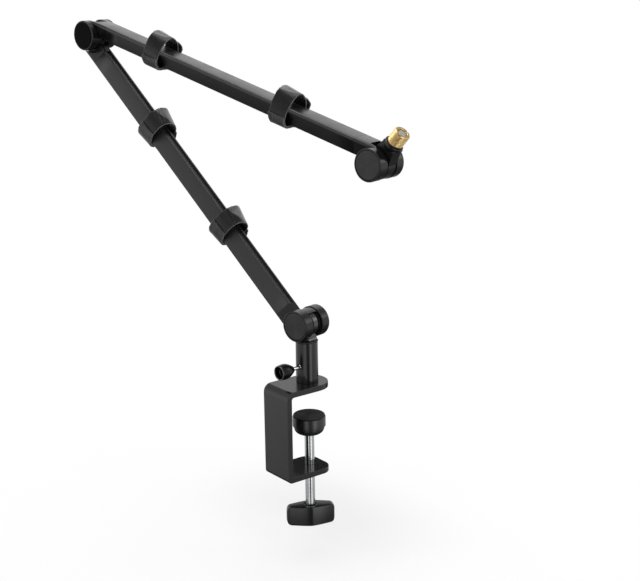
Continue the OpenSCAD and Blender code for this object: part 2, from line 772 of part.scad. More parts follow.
// Cup-faced knob that tapers towards the post
module thumb_knob() {
    r = knob_d / 2;
    on_thumb() color("#17181a") difference() {
        turned_x(concat(
            [[0, knob_back], [knob_neck_d / 2, knob_back], [knob_neck_d / 2, knob_back + 1]],
            [[r - 1.2, knob_back + knob_len * 0.4], [r - 0.2, knob_back + knob_len * 0.52],
             [r, knob_back + knob_len * 0.62], [r - 0.3, knob_front - 0.8], [r - 1, knob_front],
             [r - 2.2, knob_front], [r - 2.4, knob_front - knob_cup], [0, knob_front - knob_cup]]));
        translate([knob_back - eps, 0, 0]) rotate([0, 90, 0]) cylinder(r = thumb_r + seat, h = knob_len);
    }
}

// Tongue, flat neck and round shoulder of the tip
module tip_head() {
    root = 12.5;
    on_tip() color("#1c1d1f") difference() {
        union() {
            tongue_disc(tongue_r);
            along_y(-tongue_half, tongue_half) polygon([
                [8, -root], [tip_len - 7, 1 - shoulder_d / 2], [tip_len - 2, 1 - shoulder_d / 2],
                [tip_len - 2, shoulder_d / 2 - 1], [tip_len - 7, shoulder_d / 2 - 1], [8, root]]);
            turned_x([
                [0, tip_len - 9], [tongue_half - 0.2, tip_len - 9], [shoulder_d / 2 - 0.6, tip_len - 3.4],
                [shoulder_d / 2, tip_len - 2.8], [shoulder_d / 2, tip_len + shoulder_t - 3.5],
                [shoulder_d / 2 - 0.5, tip_len + shoulder_t - 3], [0, tip_len + shoulder_t - 3]]);
        }
        disc_y(hinge_r + run, -ear_out, ear_out);
        translate([tip_len - 9, 0, 0]) rotate([0, 90, 0]) cylinder(r = stud_d / 2 + seat, h = 20);
    }
}

module mic_stud() {
    base = tip_len - 8.9;
    top = tip_len + shoulder_t - 3 + adapter_len - 1;
    on_tip() color("#b9bcc0") turned_x([
        [0, base], [stud_d / 2, base], [stud_d / 2, top - 0.7], [stud_d / 2 - 0.7, top], [0, top]]);
}

module thread_adapter() {
    base = tip_len + shoulder_t - 3 + seat;
    on_tip() color("#a8895a") difference() {
        turned_x([
            [0, base], [adapter_d / 2 - 0.5, base], [adapter_d / 2, base + 0.5],
            [adapter_d / 2, base + adapter_len - 0.8], [adapter_d / 2 - 0.8, base + adapter_len],
            [0, base + adapter_len]]);
        translate([base - eps, 0, 0]) rotate([0, 90, 0]) cylinder(r = stud_d / 2 + seat, h = adapter_len + 3);
        // Slot for a coin across the adapter's end
        translate([base + adapter_len - 1.6, -adapter_d, -0.8]) cube([3, 2 * adapter_d, 1.6]);
    }
}

module lower_tube() { on_lower() color("#303134") arm_tube(); }
module base_fork() {
    on_lower() color("#2c2d30") {
        fork_head();
        fork_hood();
    }
}
module elbow_tongue() { at_elbow_lower() color("#2c2d30") tongue_head(); }
module lower_grub_screws() { on_lower() color("#6f7276") grub_screws(); }
module base_bolt() { on_lower() color("#8d9094") hinge_bolt(); }
module base_nut() { on_lower() color("#8d9094") hinge_nut(); }
module base_spring() { on_lower() color("#5e6165") hinge_spring(); }
module base_washers() { on_lower() color("#d8d5cc") hinge_washers(); }
module base_cap_front() { on_lower() color("#3a3b3e") mirror([0, 1, 0]) hinge_cap(); }
module base_cap_back() { on_lower() color("#3a3b3e") hinge_cap(); }
module strap_1() { on_lower() color("#262628") low_strap(strap_1_at); }
module strap_2() { on_lower() color("#262628") low_strap(strap_2_at); }

module upper_tube() { on_upper() color("#303134") arm_tube(); }
module elbow_fork() { on_upper() color("#2c2d30") fork_head(); }
module tip_fork() { at_tip_upper() color("#2c2d30") fork_head(); }
module upper_grub_screws() { on_upper() color("#6f7276") grub_screws(); }
module elbow_bolt() { on_upper() color("#8d9094") hinge_bolt(); }
module elbow_nut() { on_upper() color("#8d9094") hinge_nut(); }
module elbow_spring() { on_upper() color("#5e6165") hinge_spring(); }
module elbow_washers() { on_upper() color("#d8d5cc") hinge_washers(); }
module elbow_cap_front() { on_upper() color("#202123") mirror([0, 1, 0]) hinge_cap(); }
module elbow_cap_back() { on_upper() color("#202123") hinge_cap(); }
module tip_bolt() { at_tip_upper() color("#8d9094") hinge_bolt(); }
module tip_nut() { at_tip_upper() color("#8d9094") hinge_nut(); }
module tip_spring() { at_tip_upper() color("#5e6165") hinge_spring(); }
module tip_washers() { at_tip_upper() color("#d8d5cc") hinge_washers(); }
module tip_cap_front() { at_tip_upper() color("#3a3b3e") mirror([0, 1, 0]) hinge_cap(); }
module tip_cap_back() { at_tip_upper() color("#3a3b3e") hinge_cap(); }
module strap_3() { on_upper() color("#262628") up_strap(strap_3_at); }
module strap_4() { on_upper() color("#262628") up_strap(strap_4_at); }

clamp_bracket();
jaw_pad();
post();
post_bolt();
bushing();
clamp_screw();
handle();
handle_screw();
pressure_pad();
pad_liner();
pad_clip();
thumb_rod();
thumb_knob();
lock_tip();
swivel_head();
spindle();
lower_tube();
base_fork();
elbow_tongue();
lower_grub_screws();
base_bolt();
base_nut();
base_spring();
base_washers();
base_cap_front();
base_cap_back();
strap_1();
strap_2();
upper_tube();
elbow_fork();
tip_fork();
upper_grub_screws();
elbow_bolt();
elbow_nut();
elbow_spring();
elbow_washers();
elbow_cap_front();
elbow_cap_back();
tip_bolt();
tip_nut();
tip_spring();
tip_washers();
tip_cap_front();
tip_cap_back();
strap_3();
strap_4();
tip_head();
mic_stud();
thread_adapter();
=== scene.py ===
"""Looks of a folding boom arm with a screw clamp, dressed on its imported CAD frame.

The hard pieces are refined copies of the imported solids, with rounded edges. The arm tubes, caps, screws,
handle, pad and straps are built here. Lengths are in millimetres and angles in degrees, in the shared frame
unless a local frame is named.
"""

import logging
import math
from dataclasses import dataclass
from enum import Enum

import bmesh
import bpy
import numpy as np
from mathutils import Matrix, Vector

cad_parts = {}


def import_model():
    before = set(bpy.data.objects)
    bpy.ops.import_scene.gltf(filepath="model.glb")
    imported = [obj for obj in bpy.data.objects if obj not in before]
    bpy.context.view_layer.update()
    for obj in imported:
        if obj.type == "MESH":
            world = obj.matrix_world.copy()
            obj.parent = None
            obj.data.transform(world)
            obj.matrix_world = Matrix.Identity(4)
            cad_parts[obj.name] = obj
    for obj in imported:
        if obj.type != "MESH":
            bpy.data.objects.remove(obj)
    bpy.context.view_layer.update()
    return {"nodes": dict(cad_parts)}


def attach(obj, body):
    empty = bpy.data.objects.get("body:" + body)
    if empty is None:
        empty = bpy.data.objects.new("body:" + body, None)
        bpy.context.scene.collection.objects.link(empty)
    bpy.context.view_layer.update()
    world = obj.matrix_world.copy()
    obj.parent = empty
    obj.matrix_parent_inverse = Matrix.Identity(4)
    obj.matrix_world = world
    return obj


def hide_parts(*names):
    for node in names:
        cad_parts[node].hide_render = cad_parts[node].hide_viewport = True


log = logging.getLogger("boom_arm")
MM = 0.001
Array = np.ndarray
Color = tuple[float, float, float]
Range = tuple[float, float]
Points = list[list[float]]
MERGE_M = 1e-6


# Places


@dataclass(frozen=True)
class Layout:
    """Sizes and places that part.scad sets, repeated here.

    Args:
        swivel_deg: Turn of both arms about the post.
        rise_deg: How steeply the lower arm rises.
        droop_deg: How steeply the upper arm falls.
        tip_deg: How steeply the tip head rises.
        handle_deg: Turn of the handle about the screw.
        thumb_deg: Turn of the thumb screw about the post, from the side of negative y.
        hinge_z: Height of the base hinge.
        thumb_z: Height of the thumb screw.
        reach: Distance from hinge to hinge.
        post_r: Radius of the post.
        screw_y: Distance of the clamp screw behind the post's axis.
        pad_top: Height of the pad's rubber face.
        handle_under: Height of the handle's underside.
    """

    swivel_deg: float = 11.7
    rise_deg: float = 42.4
    droop_deg: float = 14.6
    tip_deg: float = 48.0
    handle_deg: float = 62.5
    thumb_deg: float = 4.5
    hinge_z: float = 67.2
    thumb_z: float = 23.0
    reach: float = 405.4
    post_r: float = 11.25
    screw_y: float = 1.4
    pad_top: float = -30.0
    handle_under: float = -150.0


LAY = Layout()


def rot_z(deg: float) -> Array:
    """Rotation matrix about Z."""
    c, s = math.cos(math.radians(deg)), math.sin(math.radians(deg))
    return np.array([[c, -s, 0.0], [s, c, 0.0], [0.0, 0.0, 1.0]])


def rot_y(deg: float) -> Array:
    """Rotation matrix about Y."""
    c, s = math.cos(math.radians(deg)), math.sin(math.radians(deg))
    return np.array([[c, 0.0, s], [0.0, 1.0, 0.0], [-s, 0.0, c]])


@dataclass(frozen=True)
class Place:
    """A local frame in the shared frame.

    Args:
        origin: Where the local origin is.
        basis: The local axes as columns.
    """

    origin: Array
    basis: Array

    def metres(self, points: Array) -> Array:
        """Turns local millimetres into the shared frame's metres.

        Args:
            points: An array whose last axis holds x, y, z.

        Returns:
            An array of the same shape.
        """
        return (np.asarray(points, float) @ self.basis.T + self.origin) * MM

    @property
    def euler(self) -> tuple[float, float, float]:
        """The rotation that carries the shared axes onto the local ones."""
        return tuple(Matrix(self.basis.tolist()).to_euler())


def make_places() -> dict[str, Place]:
    """Works out the local frames of the arms, the tip and the screws.

    Returns:
        The frames, by name.
    """
    pan = rot_z(LAY.swivel_deg)
    base = np.array([0.0, 0.0, LAY.hinge_z])
    lower = pan @ rot_y(180 + LAY.rise_deg)
    elbow = base + lower @ np.array([LAY.reach, 0, 0])
    upper = pan @ rot_y(LAY.droop_deg)
    tip = elbow + upper @ np.array([LAY.reach, 0, 0])
    screw = np.array([0.0, LAY.screw_y, 0.0])
    return {
        "shared": Place(np.zeros(3), np.eye(3)),
        "lower": Place(base, lower),
        "upper": Place(elbow, upper),
        "tip_fork": Place(tip, upper),
        "tip": Place(tip, pan @ rot_y(-LAY.tip_deg)),
        "screw": Place(screw, np.eye(3)),
        "handle": Place(screw, rot_z(LAY.handle_deg)),
        "thumb": Place(np.array([0.0, 0.0, LAY.thumb_z]), rot_z(LAY.thumb_deg - 90)),
    }


PLACES = make_places()


# Camera, light and floor


@dataclass(frozen=True)
class CameraFit:
    """The camera solved from the photograph: the clamp's corners and the hinge discs' centres.

    Args:
        focal_px: Focal length, in the photograph's pixels.
        width_px: Width of the photograph.
        height_px: Height of the photograph.
        distance: How far a point on the Z axis lies from the camera, along its view.
        origin_px: Where the photograph shows that point.
        azimuth_deg: Turn of the camera about Z.
        elevation_deg: How steeply it looks down.
        roll_deg: Its turn about its own view.
        origin_z: Height of that point.
        sensor: Width of the sensor.
        clip_m: How far the camera sees, in metres.
    """

    focal_px: float = 1321.5
    width_px: float = 640.0
    height_px: float = 581.0
    distance: float = 1340.9
    origin_px: tuple[float, float] = (307.4, 386.0)
    azimuth_deg: float = 52.5
    elevation_deg: float = 15.1
    roll_deg: float = -0.8
    origin_z: float = 0.6
    sensor: float = 36.0
    clip_m: float = 20.0

    def build(self) -> None:
        """Adds the camera and makes it the scene's."""
        turn, rise, roll = (math.radians(v) for v in (self.azimuth_deg, self.elevation_deg, self.roll_deg))
        right = np.array([math.cos(turn), math.sin(turn), 0.0])
        back = np.array([math.sin(turn) * math.cos(rise), -math.cos(turn) * math.cos(rise), math.sin(rise)])
        up = np.cross(back, right)
        c, s = math.cos(roll), math.sin(roll)
        basis = np.column_stack([c * right + s * up, c * up - s * right, back])
        scale = self.distance / self.focal_px
        seen = np.array([
            (self.origin_px[0] - self.width_px / 2) * scale, (self.height_px / 2 - self.origin_px[1]) * scale,
            -self.distance])
        place = (-basis @ seen + np.array([0, 0, self.origin_z])) * MM
        data = bpy.data.cameras.new("camera")
        data.lens = self.focal_px / self.width_px * self.sensor
        data.sensor_width = self.sensor
        data.clip_end = self.clip_m
        camera = link_object("camera", data)
        camera.matrix_world = Matrix.Translation(place.tolist()) @ Matrix(basis.tolist()).to_4x4()
        bpy.context.scene.camera = camera
        log.info("camera at %s", place.round(3))


def link_object(name: str, data: bpy.types.ID) -> bpy.types.Object:
    """Makes an object and links it to the scene.

    Args:
        name: The object's name.
        data: Its mesh, light or camera.

    Returns:
        The object.
    """
    obj = bpy.data.objects.new(name, data)
    bpy.context.scene.collection.objects.link(obj)
    return obj


@dataclass(frozen=True)
class Softbox:
    """One area light.

    Args:
        name: The light's name.
        at: Where it stands, in metres.
        towards: The point that it faces, in metres.
        size: Width and height, in metres.
        watts: Its power.
    """

    name: str
    at: tuple[float, float, float]
    towards: tuple[float, float, float]
    size: tuple[float, float]
    watts: float

    def build(self) -> None:
        """Adds the light."""
        data = bpy.data.lights.new(self.name, "AREA")
        data.shape = "RECTANGLE"
        data.size, data.size_y = self.size
        data.energy = self.watts
        lamp = link_object(self.name, data)
        lamp.location = self.at
        lamp.rotation_euler = (Vector(self.towards) - Vector(self.at)).to_track_quat("-Z", "Y").to_euler()


class Pen:
    """Writes a shader's node tree, so that a pattern reads as a few lines.

    A value is a socket, which is linked, or a number, colour or vector, which is set.
    """

    def __init__(self, tree: bpy.types.NodeTree) -> None:
        """Keeps the tree."""
        self.tree = tree

    def fill(self, node: bpy.types.Node, values: dict[str | int, object]) -> None:
        """Links or sets a node's inputs.

        Args:
            node: The node.
            values: The inputs' values, by name or number.
        """
        for key, value in values.items():
            if isinstance(value, bpy.types.NodeSocket):
                self.tree.links.new(value, node.inputs[key])
            else:
                node.inputs[key].default_value = value

    def node(self, kind: str, values: dict[str | int, object], **settings: object) -> bpy.types.Node:
        """Adds a node.

        Args:
            kind: Blender's name of the node type, without its first word.
            values: The inputs' values, by name or number.
            settings: The node's own properties.

        Returns:
            The node.
        """
        node = self.tree.nodes.new("ShaderNode" + kind)
        for name, setting in settings.items():
            setattr(node, name, setting)
        self.fill(node, values)
        return node

    def coord(self, name: str) -> bpy.types.NodeSocket:
        """A texture coordinate."""
        return self.node("TexCoord", {}).outputs[name]

    def camera_ray(self) -> bpy.types.NodeSocket:
        """1 for what the camera sees itself, 0 for light that comes by another way."""
        return self.node("LightPath", {}).outputs["Is Camera Ray"]

    def math(self, operation: str, *values: object, clamp: bool = False) -> bpy.types.NodeSocket:
        """Works on numbers.

        Args:
            operation: Blender's name of the operation.
            values: Its operands, in order.
            clamp: Keeps the result from 0 to 1.

        Returns:
            The result.
        """
        return self.node("Math", dict(enumerate(values)), operation=operation, use_clamp=clamp).outputs[0]

    def noise(self, vector: object, scale: float, detail: float, rough: float = 0.5) -> bpy.types.NodeSocket:
        """A grey noise of the given scale and detail."""
        values = {"Vector": vector, "Scale": scale, "Detail": detail, "Roughness": rough}
        return self.node("TexNoise", values).outputs["Fac"]

    def mix(self, share: object, first: object, second: object) -> bpy.types.NodeSocket:
        """Goes from the first colour to the second as the share goes from 0 to 1.

        Args:
            share: The share of the second colour.
            first: A colour, or a socket that gives one.
            second: The same.

        Returns:
            The mixed colour.
        """
        first, second = ((*v, 1.0) if isinstance(v, tuple) else v for v in (first, second))
        node = self.node("Mix", {"Factor": share, "A": first, "B": second}, data_type="RGBA")
        return node.outputs["Result"]

    def spread(self, value: object, source: Range, target: Range) -> bpy.types.NodeSocket:
        """Carries one range of numbers onto another, and holds it at the ends."""
        limits = dict(zip(("From Min", "From Max", "To Min", "To Max"), source + target))
        return self.node("MapRange", {"Value": value, **limits}).outputs["Result"]

    def bump(self, height: object, strength: float, distance: float) -> bpy.types.NodeSocket:
        """The normal of a surface with the given height, whose full step is the distance in metres."""
        values = {"Height": height, "Strength": strength, "Distance": distance}
        return self.node("Bump", values).outputs["Normal"]

    def ramp(self, value: object, stops: tuple[tuple[float, float], ...]) -> bpy.types.NodeSocket:
        """Reads a grey level from a ramp.

        Args:
            value: Where the ramp is read, from 0 to 1.
            stops: Rows of (position, level).

        Returns:
            The grey.
        """
        node = self.node("ValToRGB", {"Fac": value})
        ends = node.color_ramp.elements
        for end, (at, level) in zip((ends[0], ends[1]), (stops[0], stops[-1])):
            end.position, end.color = at, (level,) * 3 + (1,)
        for at, level in stops[1:-1]:
            ends.new(at).color = (level,) * 3 + (1,)
        return node.outputs["Color"]

    def surface(self, values: dict[str | int, object]) -> None:
        """Links or sets the inputs of Blender's usual surface shader."""
        self.fill(self.tree.nodes["Principled BSDF"], values)

    def either(self, share: object, first: object, second: object) -> bpy.types.NodeSocket:
        """Goes from the first shader to the second as the share goes from 0 to 1."""
        return self.node("MixShader", {"Fac": share, 1: first, 2: second}).outputs[0]


def blank_pen(owner: bpy.types.ID) -> Pen:
    """Empties a node tree.

    Args:
        owner: The material or world that owns it.

    Returns:
        A pen for the tree.
    """
    owner.use_nodes = True
    owner.node_tree.nodes.clear()
    return Pen(owner.node_tree)


def staged_plane(name: str, x: Range, y: Range, z: float) -> bpy.types.Object:
    """A level rectangle that belongs to the stage.

    Args:
        name: Name of the object and of its new material, which the caller still has to write.
        x: Its lowest and highest x, in metres.
        y: Its lowest and highest y, in metres.
        z: Its height, in metres.

    Returns:
        The object.
    """
    mesh = bpy.data.meshes.new(name)
    corners = [(x[0], y[0], z), (x[1], y[0], z), (x[1], y[1], z), (x[0], y[1], z)]
    mesh.from_pydata(corners, [], [(0, 1, 2, 3)])
    mesh.materials.append(bpy.data.materials.new(name))
    plane = link_object(name, mesh)
    return plane


@dataclass(frozen=True)
class Band:
    """An upright band of the surroundings that is darker or brighter than the rest.

    Args:
        middle_deg: Azimuth of its middle.
        half_deg: Half its width.
        gain: Its brightness against the rest.
        soft_deg: Width of its soft edges.
    """

    middle_deg: float
    half_deg: float
    gain: float
    soft_deg: float = 7.0

    def apply(self, pen: Pen, azimuth: bpy.types.NodeSocket, level: object) -> bpy.types.NodeSocket:
        """Multiplies a level by the gain inside the band.

        The share inside is (half the width - distance from the middle) / soft edge + 0.5, held from 0 to 1.

        Args:
            pen: Writes the world's tree.
            azimuth: The direction's azimuth, in radians.
            level: The level so far.

        Returns:
            The new level.
        """
        off = pen.math("ABSOLUTE", pen.math("SUBTRACT", azimuth, math.radians(self.middle_deg)))
        near = pen.math("SUBTRACT", math.radians(self.half_deg), off)
        inside = pen.math("ADD", pen.math("DIVIDE", near, math.radians(self.soft_deg)), 0.5, clamp=True)
        return pen.math("MULTIPLY", level, pen.math("MULTIPLY_ADD", inside, self.gain - 1.0, 1.0))


@dataclass(frozen=True)
class Studio:
    """White backdrop, pale floor, banded surroundings and soft lamps.

    Args:
        lamps: The lamps.
        levels: Brightness of the surroundings, as (sine of the height above the horizon, level).
        bands: A dark flag, a bright strip and a wide, slightly brighter part to the left.
        floor_half: Half the floor's width, in metres.
        floor_drop: Depth of the floor under the handle, which leaves room for the handle's way down.
        floor_near: Distance from the middle at which the change to plain white starts, in metres.
        floor_fade: Width of that change, in metres.
        floor_white: Share of plain white that the camera sees inside that distance.
        shade_x: Lowest and highest x of the card above the lower jaw, in metres.
        shade_y: Its lowest and highest y, in metres.
        shade_lift: Its height above the pad.
    """

    lamps: tuple[Softbox, ...] = (
        Softbox("overhead", (-0.2, 0.1, 1.7), (-0.1, 0.0, 0.1), (1.5, 1.2), 14.0),
        Softbox("front_left", (-0.9, -1.5, 0.9), (-0.1, 0.0, 0.1), (0.7, 0.9), 2.5),
        Softbox("back_right", (0.9, 1.3, 0.9), (-0.1, 0.0, 0.1), (0.7, 0.9), 3.3),
        Softbox("back_left", (-1.15, 1.15, 1.2), (-0.1, 0.0, 0.2), (1.5, 0.8), 3.0),
    )
    levels: tuple[tuple[float, float], ...] = (
        (-1.0, 0.03), (-0.62, 0.10), (-0.45, 0.30), (-0.30, 0.80), (-0.18, 0.95), (0.1, 0.95), (0.35, 0.70),
        (0.75, 0.45), (1.0, 0.9))
    bands: tuple[Band, ...] = (Band(-27.0, 13.0, 0.14), Band(4.0, 10.0, 3.0), Band(-56.0, 14.0, 1.8))
    floor_half: float = 3.0
    floor_drop: float = 34.0
    floor_near: float = 0.2
    floor_fade: float = 0.6
    floor_white: float = 0.72
    shade_x: Range = (-0.19, 0.03)
    shade_y: Range = (0.03, 0.14)
    shade_lift: float = 1.5

    def build(self) -> None:
        """Builds the lamps, the world, the floor and the card."""
        for lamp in self.lamps:
            lamp.build()
        self._world()
        self._floor()
        self._shade()
        bpy.context.scene.view_settings.view_transform = "Standard"

    def _world(self) -> None:
        """White to the camera. To all else, a level that follows the height, times the gain of each band."""
        world = bpy.data.worlds.new("studio")
        bpy.context.scene.world = world
        pen = blank_pen(world)
        x, y, z = pen.node("SeparateXYZ", {0: pen.coord("Generated")}).outputs
        stops = tuple(((1 + sine) / 2, level) for sine, level in self.levels)
        grey = pen.ramp(pen.math("MULTIPLY_ADD", z, 0.5, 0.5), stops)
        azimuth = pen.math("ARCTAN2", y, x)
        level = 1.0
        for band in self.bands:
            level = band.apply(pen, azimuth, level)
        lit = pen.node("Background", {"Color": grey, "Strength": level}).outputs[0]
        white = pen.node("Background", {"Color": (1, 1, 1, 1)}).outputs[0]
        pen.node("OutputWorld", {"Surface": pen.either(pen.camera_ray(), lit, white)})

    def _floor(self) -> None:
        """A pale floor that melts into the white backdrop away from the object, and shows in no reflection.

        To the camera its white share grows in a straight line from floor_white to 1 across the fade.
        """
        side = (-self.floor_half, self.floor_half)
        floor = staged_plane("floor", side, side, (LAY.handle_under - self.floor_drop) * MM)
        floor.visible_glossy = False
        pen = blank_pen(floor.data.materials[0])
        far = pen.node("VectorMath", {0: pen.coord("Object")}, operation="LENGTH").outputs["Value"]
        fade = pen.math("DIVIDE", pen.math("SUBTRACT", far, self.floor_near), self.floor_fade, clamp=True)
        share = pen.math("MULTIPLY_ADD", fade, 1 - self.floor_white, self.floor_white)
        share = pen.math("MULTIPLY", share, pen.camera_ray())
        pale = pen.node("BsdfDiffuse", {"Color": (0.88, 0.88, 0.88, 1)}).outputs[0]
        white = pen.node("Emission", {}).outputs[0]
        pen.node("OutputMaterial", {"Surface": pen.either(share, pale, white)})

    def _shade(self) -> None:
        """A dark card above the lower jaw, unseen by the camera, that keeps the light off the jaw."""
        card = staged_plane("jaw_shade", self.shade_x, self.shade_y, (LAY.pad_top + self.shade_lift) * MM)
        card.visible_camera = False
        pen = blank_pen(card.data.materials[0])
        dark = pen.node("BsdfPrincipled", {"Base Color": (0.02, 0.02, 0.02, 1), "Roughness": 0.9}).outputs[0]
        pen.node("OutputMaterial", {"Surface": dark})


# Finishes


def new_material(name: str, color: Color) -> tuple[bpy.types.Material, Pen]:
    """Makes a material with Blender's usual surface shader.

    Args:
        name: Its name. Blender adds a number where a packed material has the same name.
        color: Its plain colour, linear.

    Returns:
        The material and a pen for its tree.
    """
    mat = bpy.data.materials.new(name)
    mat.diffuse_color = (*color, 1)
    mat.use_nodes = True
    return mat, Pen(mat.node_tree)


@dataclass(frozen=True)
class Finish:
    """A procedural finish.

    Args:
        name: The material's name.
        color: Base colour, linear.
        rough: Roughness.
        metal: Metallic value.
        specular: Specular level.
        grain_mm: Size of the surface grain.
        grain: Height of the grain in the bump, from 0 to 1.
        mottle_mm: Size of the slow variation.
        mottle: Strength of the slow variation of colour and roughness.
        streak: How much the grain is drawn out along the place's x axis, 1 for none.
        place: Name of the local frame that the streaks follow.
        aniso: Anisotropy, with the tangent along the UV map "ring".
    """

    name: str
    color: Color
    rough: float
    metal: float = 0.0
    specular: float = 0.5
    grain_mm: float = 0.4
    grain: float = 0.2
    mottle_mm: float = 18.0
    mottle: float = 0.12
    streak: float = 1.0
    place: str = "shared"
    aniso: float = 0.0

    def build(self) -> bpy.types.Material:
        """Makes the material.

        A slow noise mottles the colour, both noises change the roughness, and the fine one is the bump.

        Returns:
            The material.
        """
        mat, pen = new_material(self.name, self.color)
        place = PLACES[self.place]
        coord = pen.coord("Object")
        turned = pen.node("Mapping", {
            "Vector": coord, "Location": (place.origin * MM).tolist(), "Rotation": place.euler,
            "Scale": (self.streak, 1.0, 1.0)}, vector_type="TEXTURE").outputs[0]
        fine = pen.noise(turned, 1.0 / (self.grain_mm * MM), 3.0)
        slow = pen.noise(coord, 1.0 / (self.mottle_mm * MM), 4.0)
        dark, light = (tuple(min(1.0, c * (1 + way * self.mottle)) for c in self.color) for way in (-1, 1))
        swing = 1.4 * self.mottle
        ends = (max(0.02, self.rough * (1 - swing)), min(1.0, self.rough * (1 + swing)))
        values = {
            "Base Color": pen.mix(slow, dark, light),
            "Roughness": pen.spread(pen.math("MULTIPLY_ADD", fine, 0.35, slow), (0.4, 0.95), ends),
            "Normal": pen.bump(fine, self.grain, self.grain_mm * MM / 4),
            "Metallic": self.metal,
            "Specular IOR Level": self.specular,
        }
        if self.aniso > 0:
            ring = pen.node("Tangent", {}, direction_type="UV_MAP", uv_map="ring").outputs[0]
            values |= {"Anisotropic": self.aniso, "Tangent": ring}
        pen.surface(values)
        return mat


@dataclass(frozen=True)
class WebbingFinish:
    """Hook-and-loop tape: brushed, with cross ribs, lighter where it is doubled or cut, and with a painted
    highlight on the loop's top.

    Reads the attribute "tape": x runs across the tape and y along it, in millimetres. z is 0 on the loop, 1
    on the outer lap and 2 at the cut edges, and rises on the loop's top, where a highlight is painted.

    Args:
        name: The material's name.
        color: Colour of the loop, linear.
        lap_color: Colour of the outer lap.
        edge_and_highlight_color: Colour of the cut edges, which the loop's painted highlight also takes.
        bump_mm: Height of the weave.
    """

    name: str = "strap_webbing"
    color: Color = (0.0065, 0.0065, 0.007)
    lap_color: Color = (0.034, 0.034, 0.035)
    edge_and_highlight_color: Color = (0.105, 0.105, 0.106)
    bump_mm: float = 0.12

    def build(self) -> bpy.types.Material:
        """Makes the material: a slow noise shades the colour, the ribs and a fine noise are the bump.

        Returns:
            The material.
        """
        mat, pen = new_material(self.name, self.color)
        tape = pen.node("Attribute", {}, attribute_name="tape").outputs["Vector"]
        layer = pen.node("SeparateXYZ", {0: tape}).outputs["Z"]
        # On the loop's top z rises past 1, which paints a highlight in the edges' colour.
        color = pen.mix(layer, self.color, self.lap_color)
        color = pen.mix(pen.math("SUBTRACT", layer, 1.0, clamp=True), color, self.edge_and_highlight_color)
        shade = pen.spread(pen.noise(tape, 0.16, 3.0), (0.3, 0.72), (0.65, 1.4))
        ribs = pen.node(
            "TexWave", {"Vector": tape, "Scale": 0.55, "Distortion": 2.2, "Detail": 2.0}, wave_type="BANDS",
            bands_direction="Y").outputs["Fac"]
        height = pen.math("MULTIPLY_ADD", ribs, 0.35, pen.noise(tape, 2.6, 6.0, 0.7))
        shaded = pen.node("VectorMath", {0: color, "Scale": shade}, operation="SCALE")
        pen.surface({
            "Base Color": shaded.outputs["Vector"],
            "Normal": pen.bump(height, 0.3, self.bump_mm * MM),
            "Roughness": 0.20,
            "Specular IOR Level": 0.28,
            "Sheen Weight": 0.10,
            "Sheen Roughness": 0.3,
            "Sheen Tint": (0.8, 0.8, 0.82, 1),
        })
        return mat


FINISHES: tuple[Finish | WebbingFinish, ...] = (
    Finish("black_powder_coat", (0.0075, 0.0075, 0.008), 0.20, grain_mm=0.9, grain=0.03, mottle=0.06),
    Finish("black_rubber", (0.010, 0.010, 0.010), 0.75, grain_mm=0.7, grain=0.45, specular=0.3),
    Finish("black_anodised", (0.0065, 0.0065, 0.007), 0.20, grain=0.03),
    Finish("zinc_steel", (0.55, 0.56, 0.58), 0.32, metal=1.0, grain_mm=0.3, grain=0.15),
    Finish("spring_steel", (0.32, 0.33, 0.35), 0.35, metal=1.0, grain_mm=0.3, grain=0.15),
    Finish("nylon", (0.012, 0.012, 0.013), 0.5, grain_mm=0.6, grain=0.15),
    Finish("bright_steel", (0.66, 0.67, 0.68), 0.07, metal=1.0, grain_mm=0.6, grain=0.02, mottle=0.25),
    Finish("black_plastic", (0.010, 0.010, 0.0105), 0.30, grain_mm=0.3, grain=0.12, mottle=0.08),
    Finish("moulded_handle", (0.009, 0.009, 0.0095), 0.16, specular=0.42, grain_mm=0.3, grain=0.05,
           mottle=0.08),
    Finish("dark_knob", (0.003, 0.003, 0.0033), 0.22, specular=0.22, grain_mm=0.3, grain=0.06, mottle=0.08),
    # The knob's lip is lighter than the knob: a painted highlight round the cup.
    Finish("knob_lip_painted_highlight", (0.022, 0.022, 0.0225), 0.34, specular=1.0, grain_mm=0.3, grain=0.06, mottle=0.08),
    Finish("gloss_barrel", (0.002, 0.002, 0.0022), 0.16, specular=0.9, grain_mm=0.8, grain=0.01, mottle=0.05),
    Finish("brass", (0.60, 0.44, 0.20), 0.30, metal=1.0, grain_mm=0.3, grain=0.10),
    Finish("black_casting", (0.005, 0.005, 0.0055), 0.22, specular=0.36, grain_mm=0.8, grain=0.03,
           mottle=0.06),
    # The two arms share one coating. The lower arm's copy is lighter and the upper arm's darker, painted
    # light and shade for how each arm faces the light.
    Finish("arm_coating_lower_painted_lighter", (0.011, 0.011, 0.0115), 0.38, grain_mm=0.35, grain=0.06, streak=14.0,
           place="lower"),
    Finish("arm_coating_upper_painted_darker", (0.003, 0.003, 0.0033), 0.32, grain_mm=0.35, grain=0.06, streak=14.0,
           place="upper"),
    Finish("satin_cap", (0.041, 0.041, 0.042), 0.25, metal=0.85, grain_mm=0.5, grain=0.03, aniso=0.9),
    # The elbow's caps: near black with almost no specular, painted to stand in for the dark reflection they
    # show.
    Finish("gloss_cap", (0.0015, 0.0015, 0.0016), 0.12, specular=0.03, grain_mm=2.0, grain=0.01),
    WebbingFinish(),
)
Materials = dict[str, bpy.types.Material]


# Mesh tools


class Body(str, Enum):
    """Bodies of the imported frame."""

    CLAMP = "clamp"
    PAD = "pad"
    SCREW = "screw"
    LOCK = "lock"
    THUMB = "thumb"
    SWIVEL = "swivel"
    LOWER = "lower_arm"
    UPPER = "upper_arm"
    TIP = "tip"


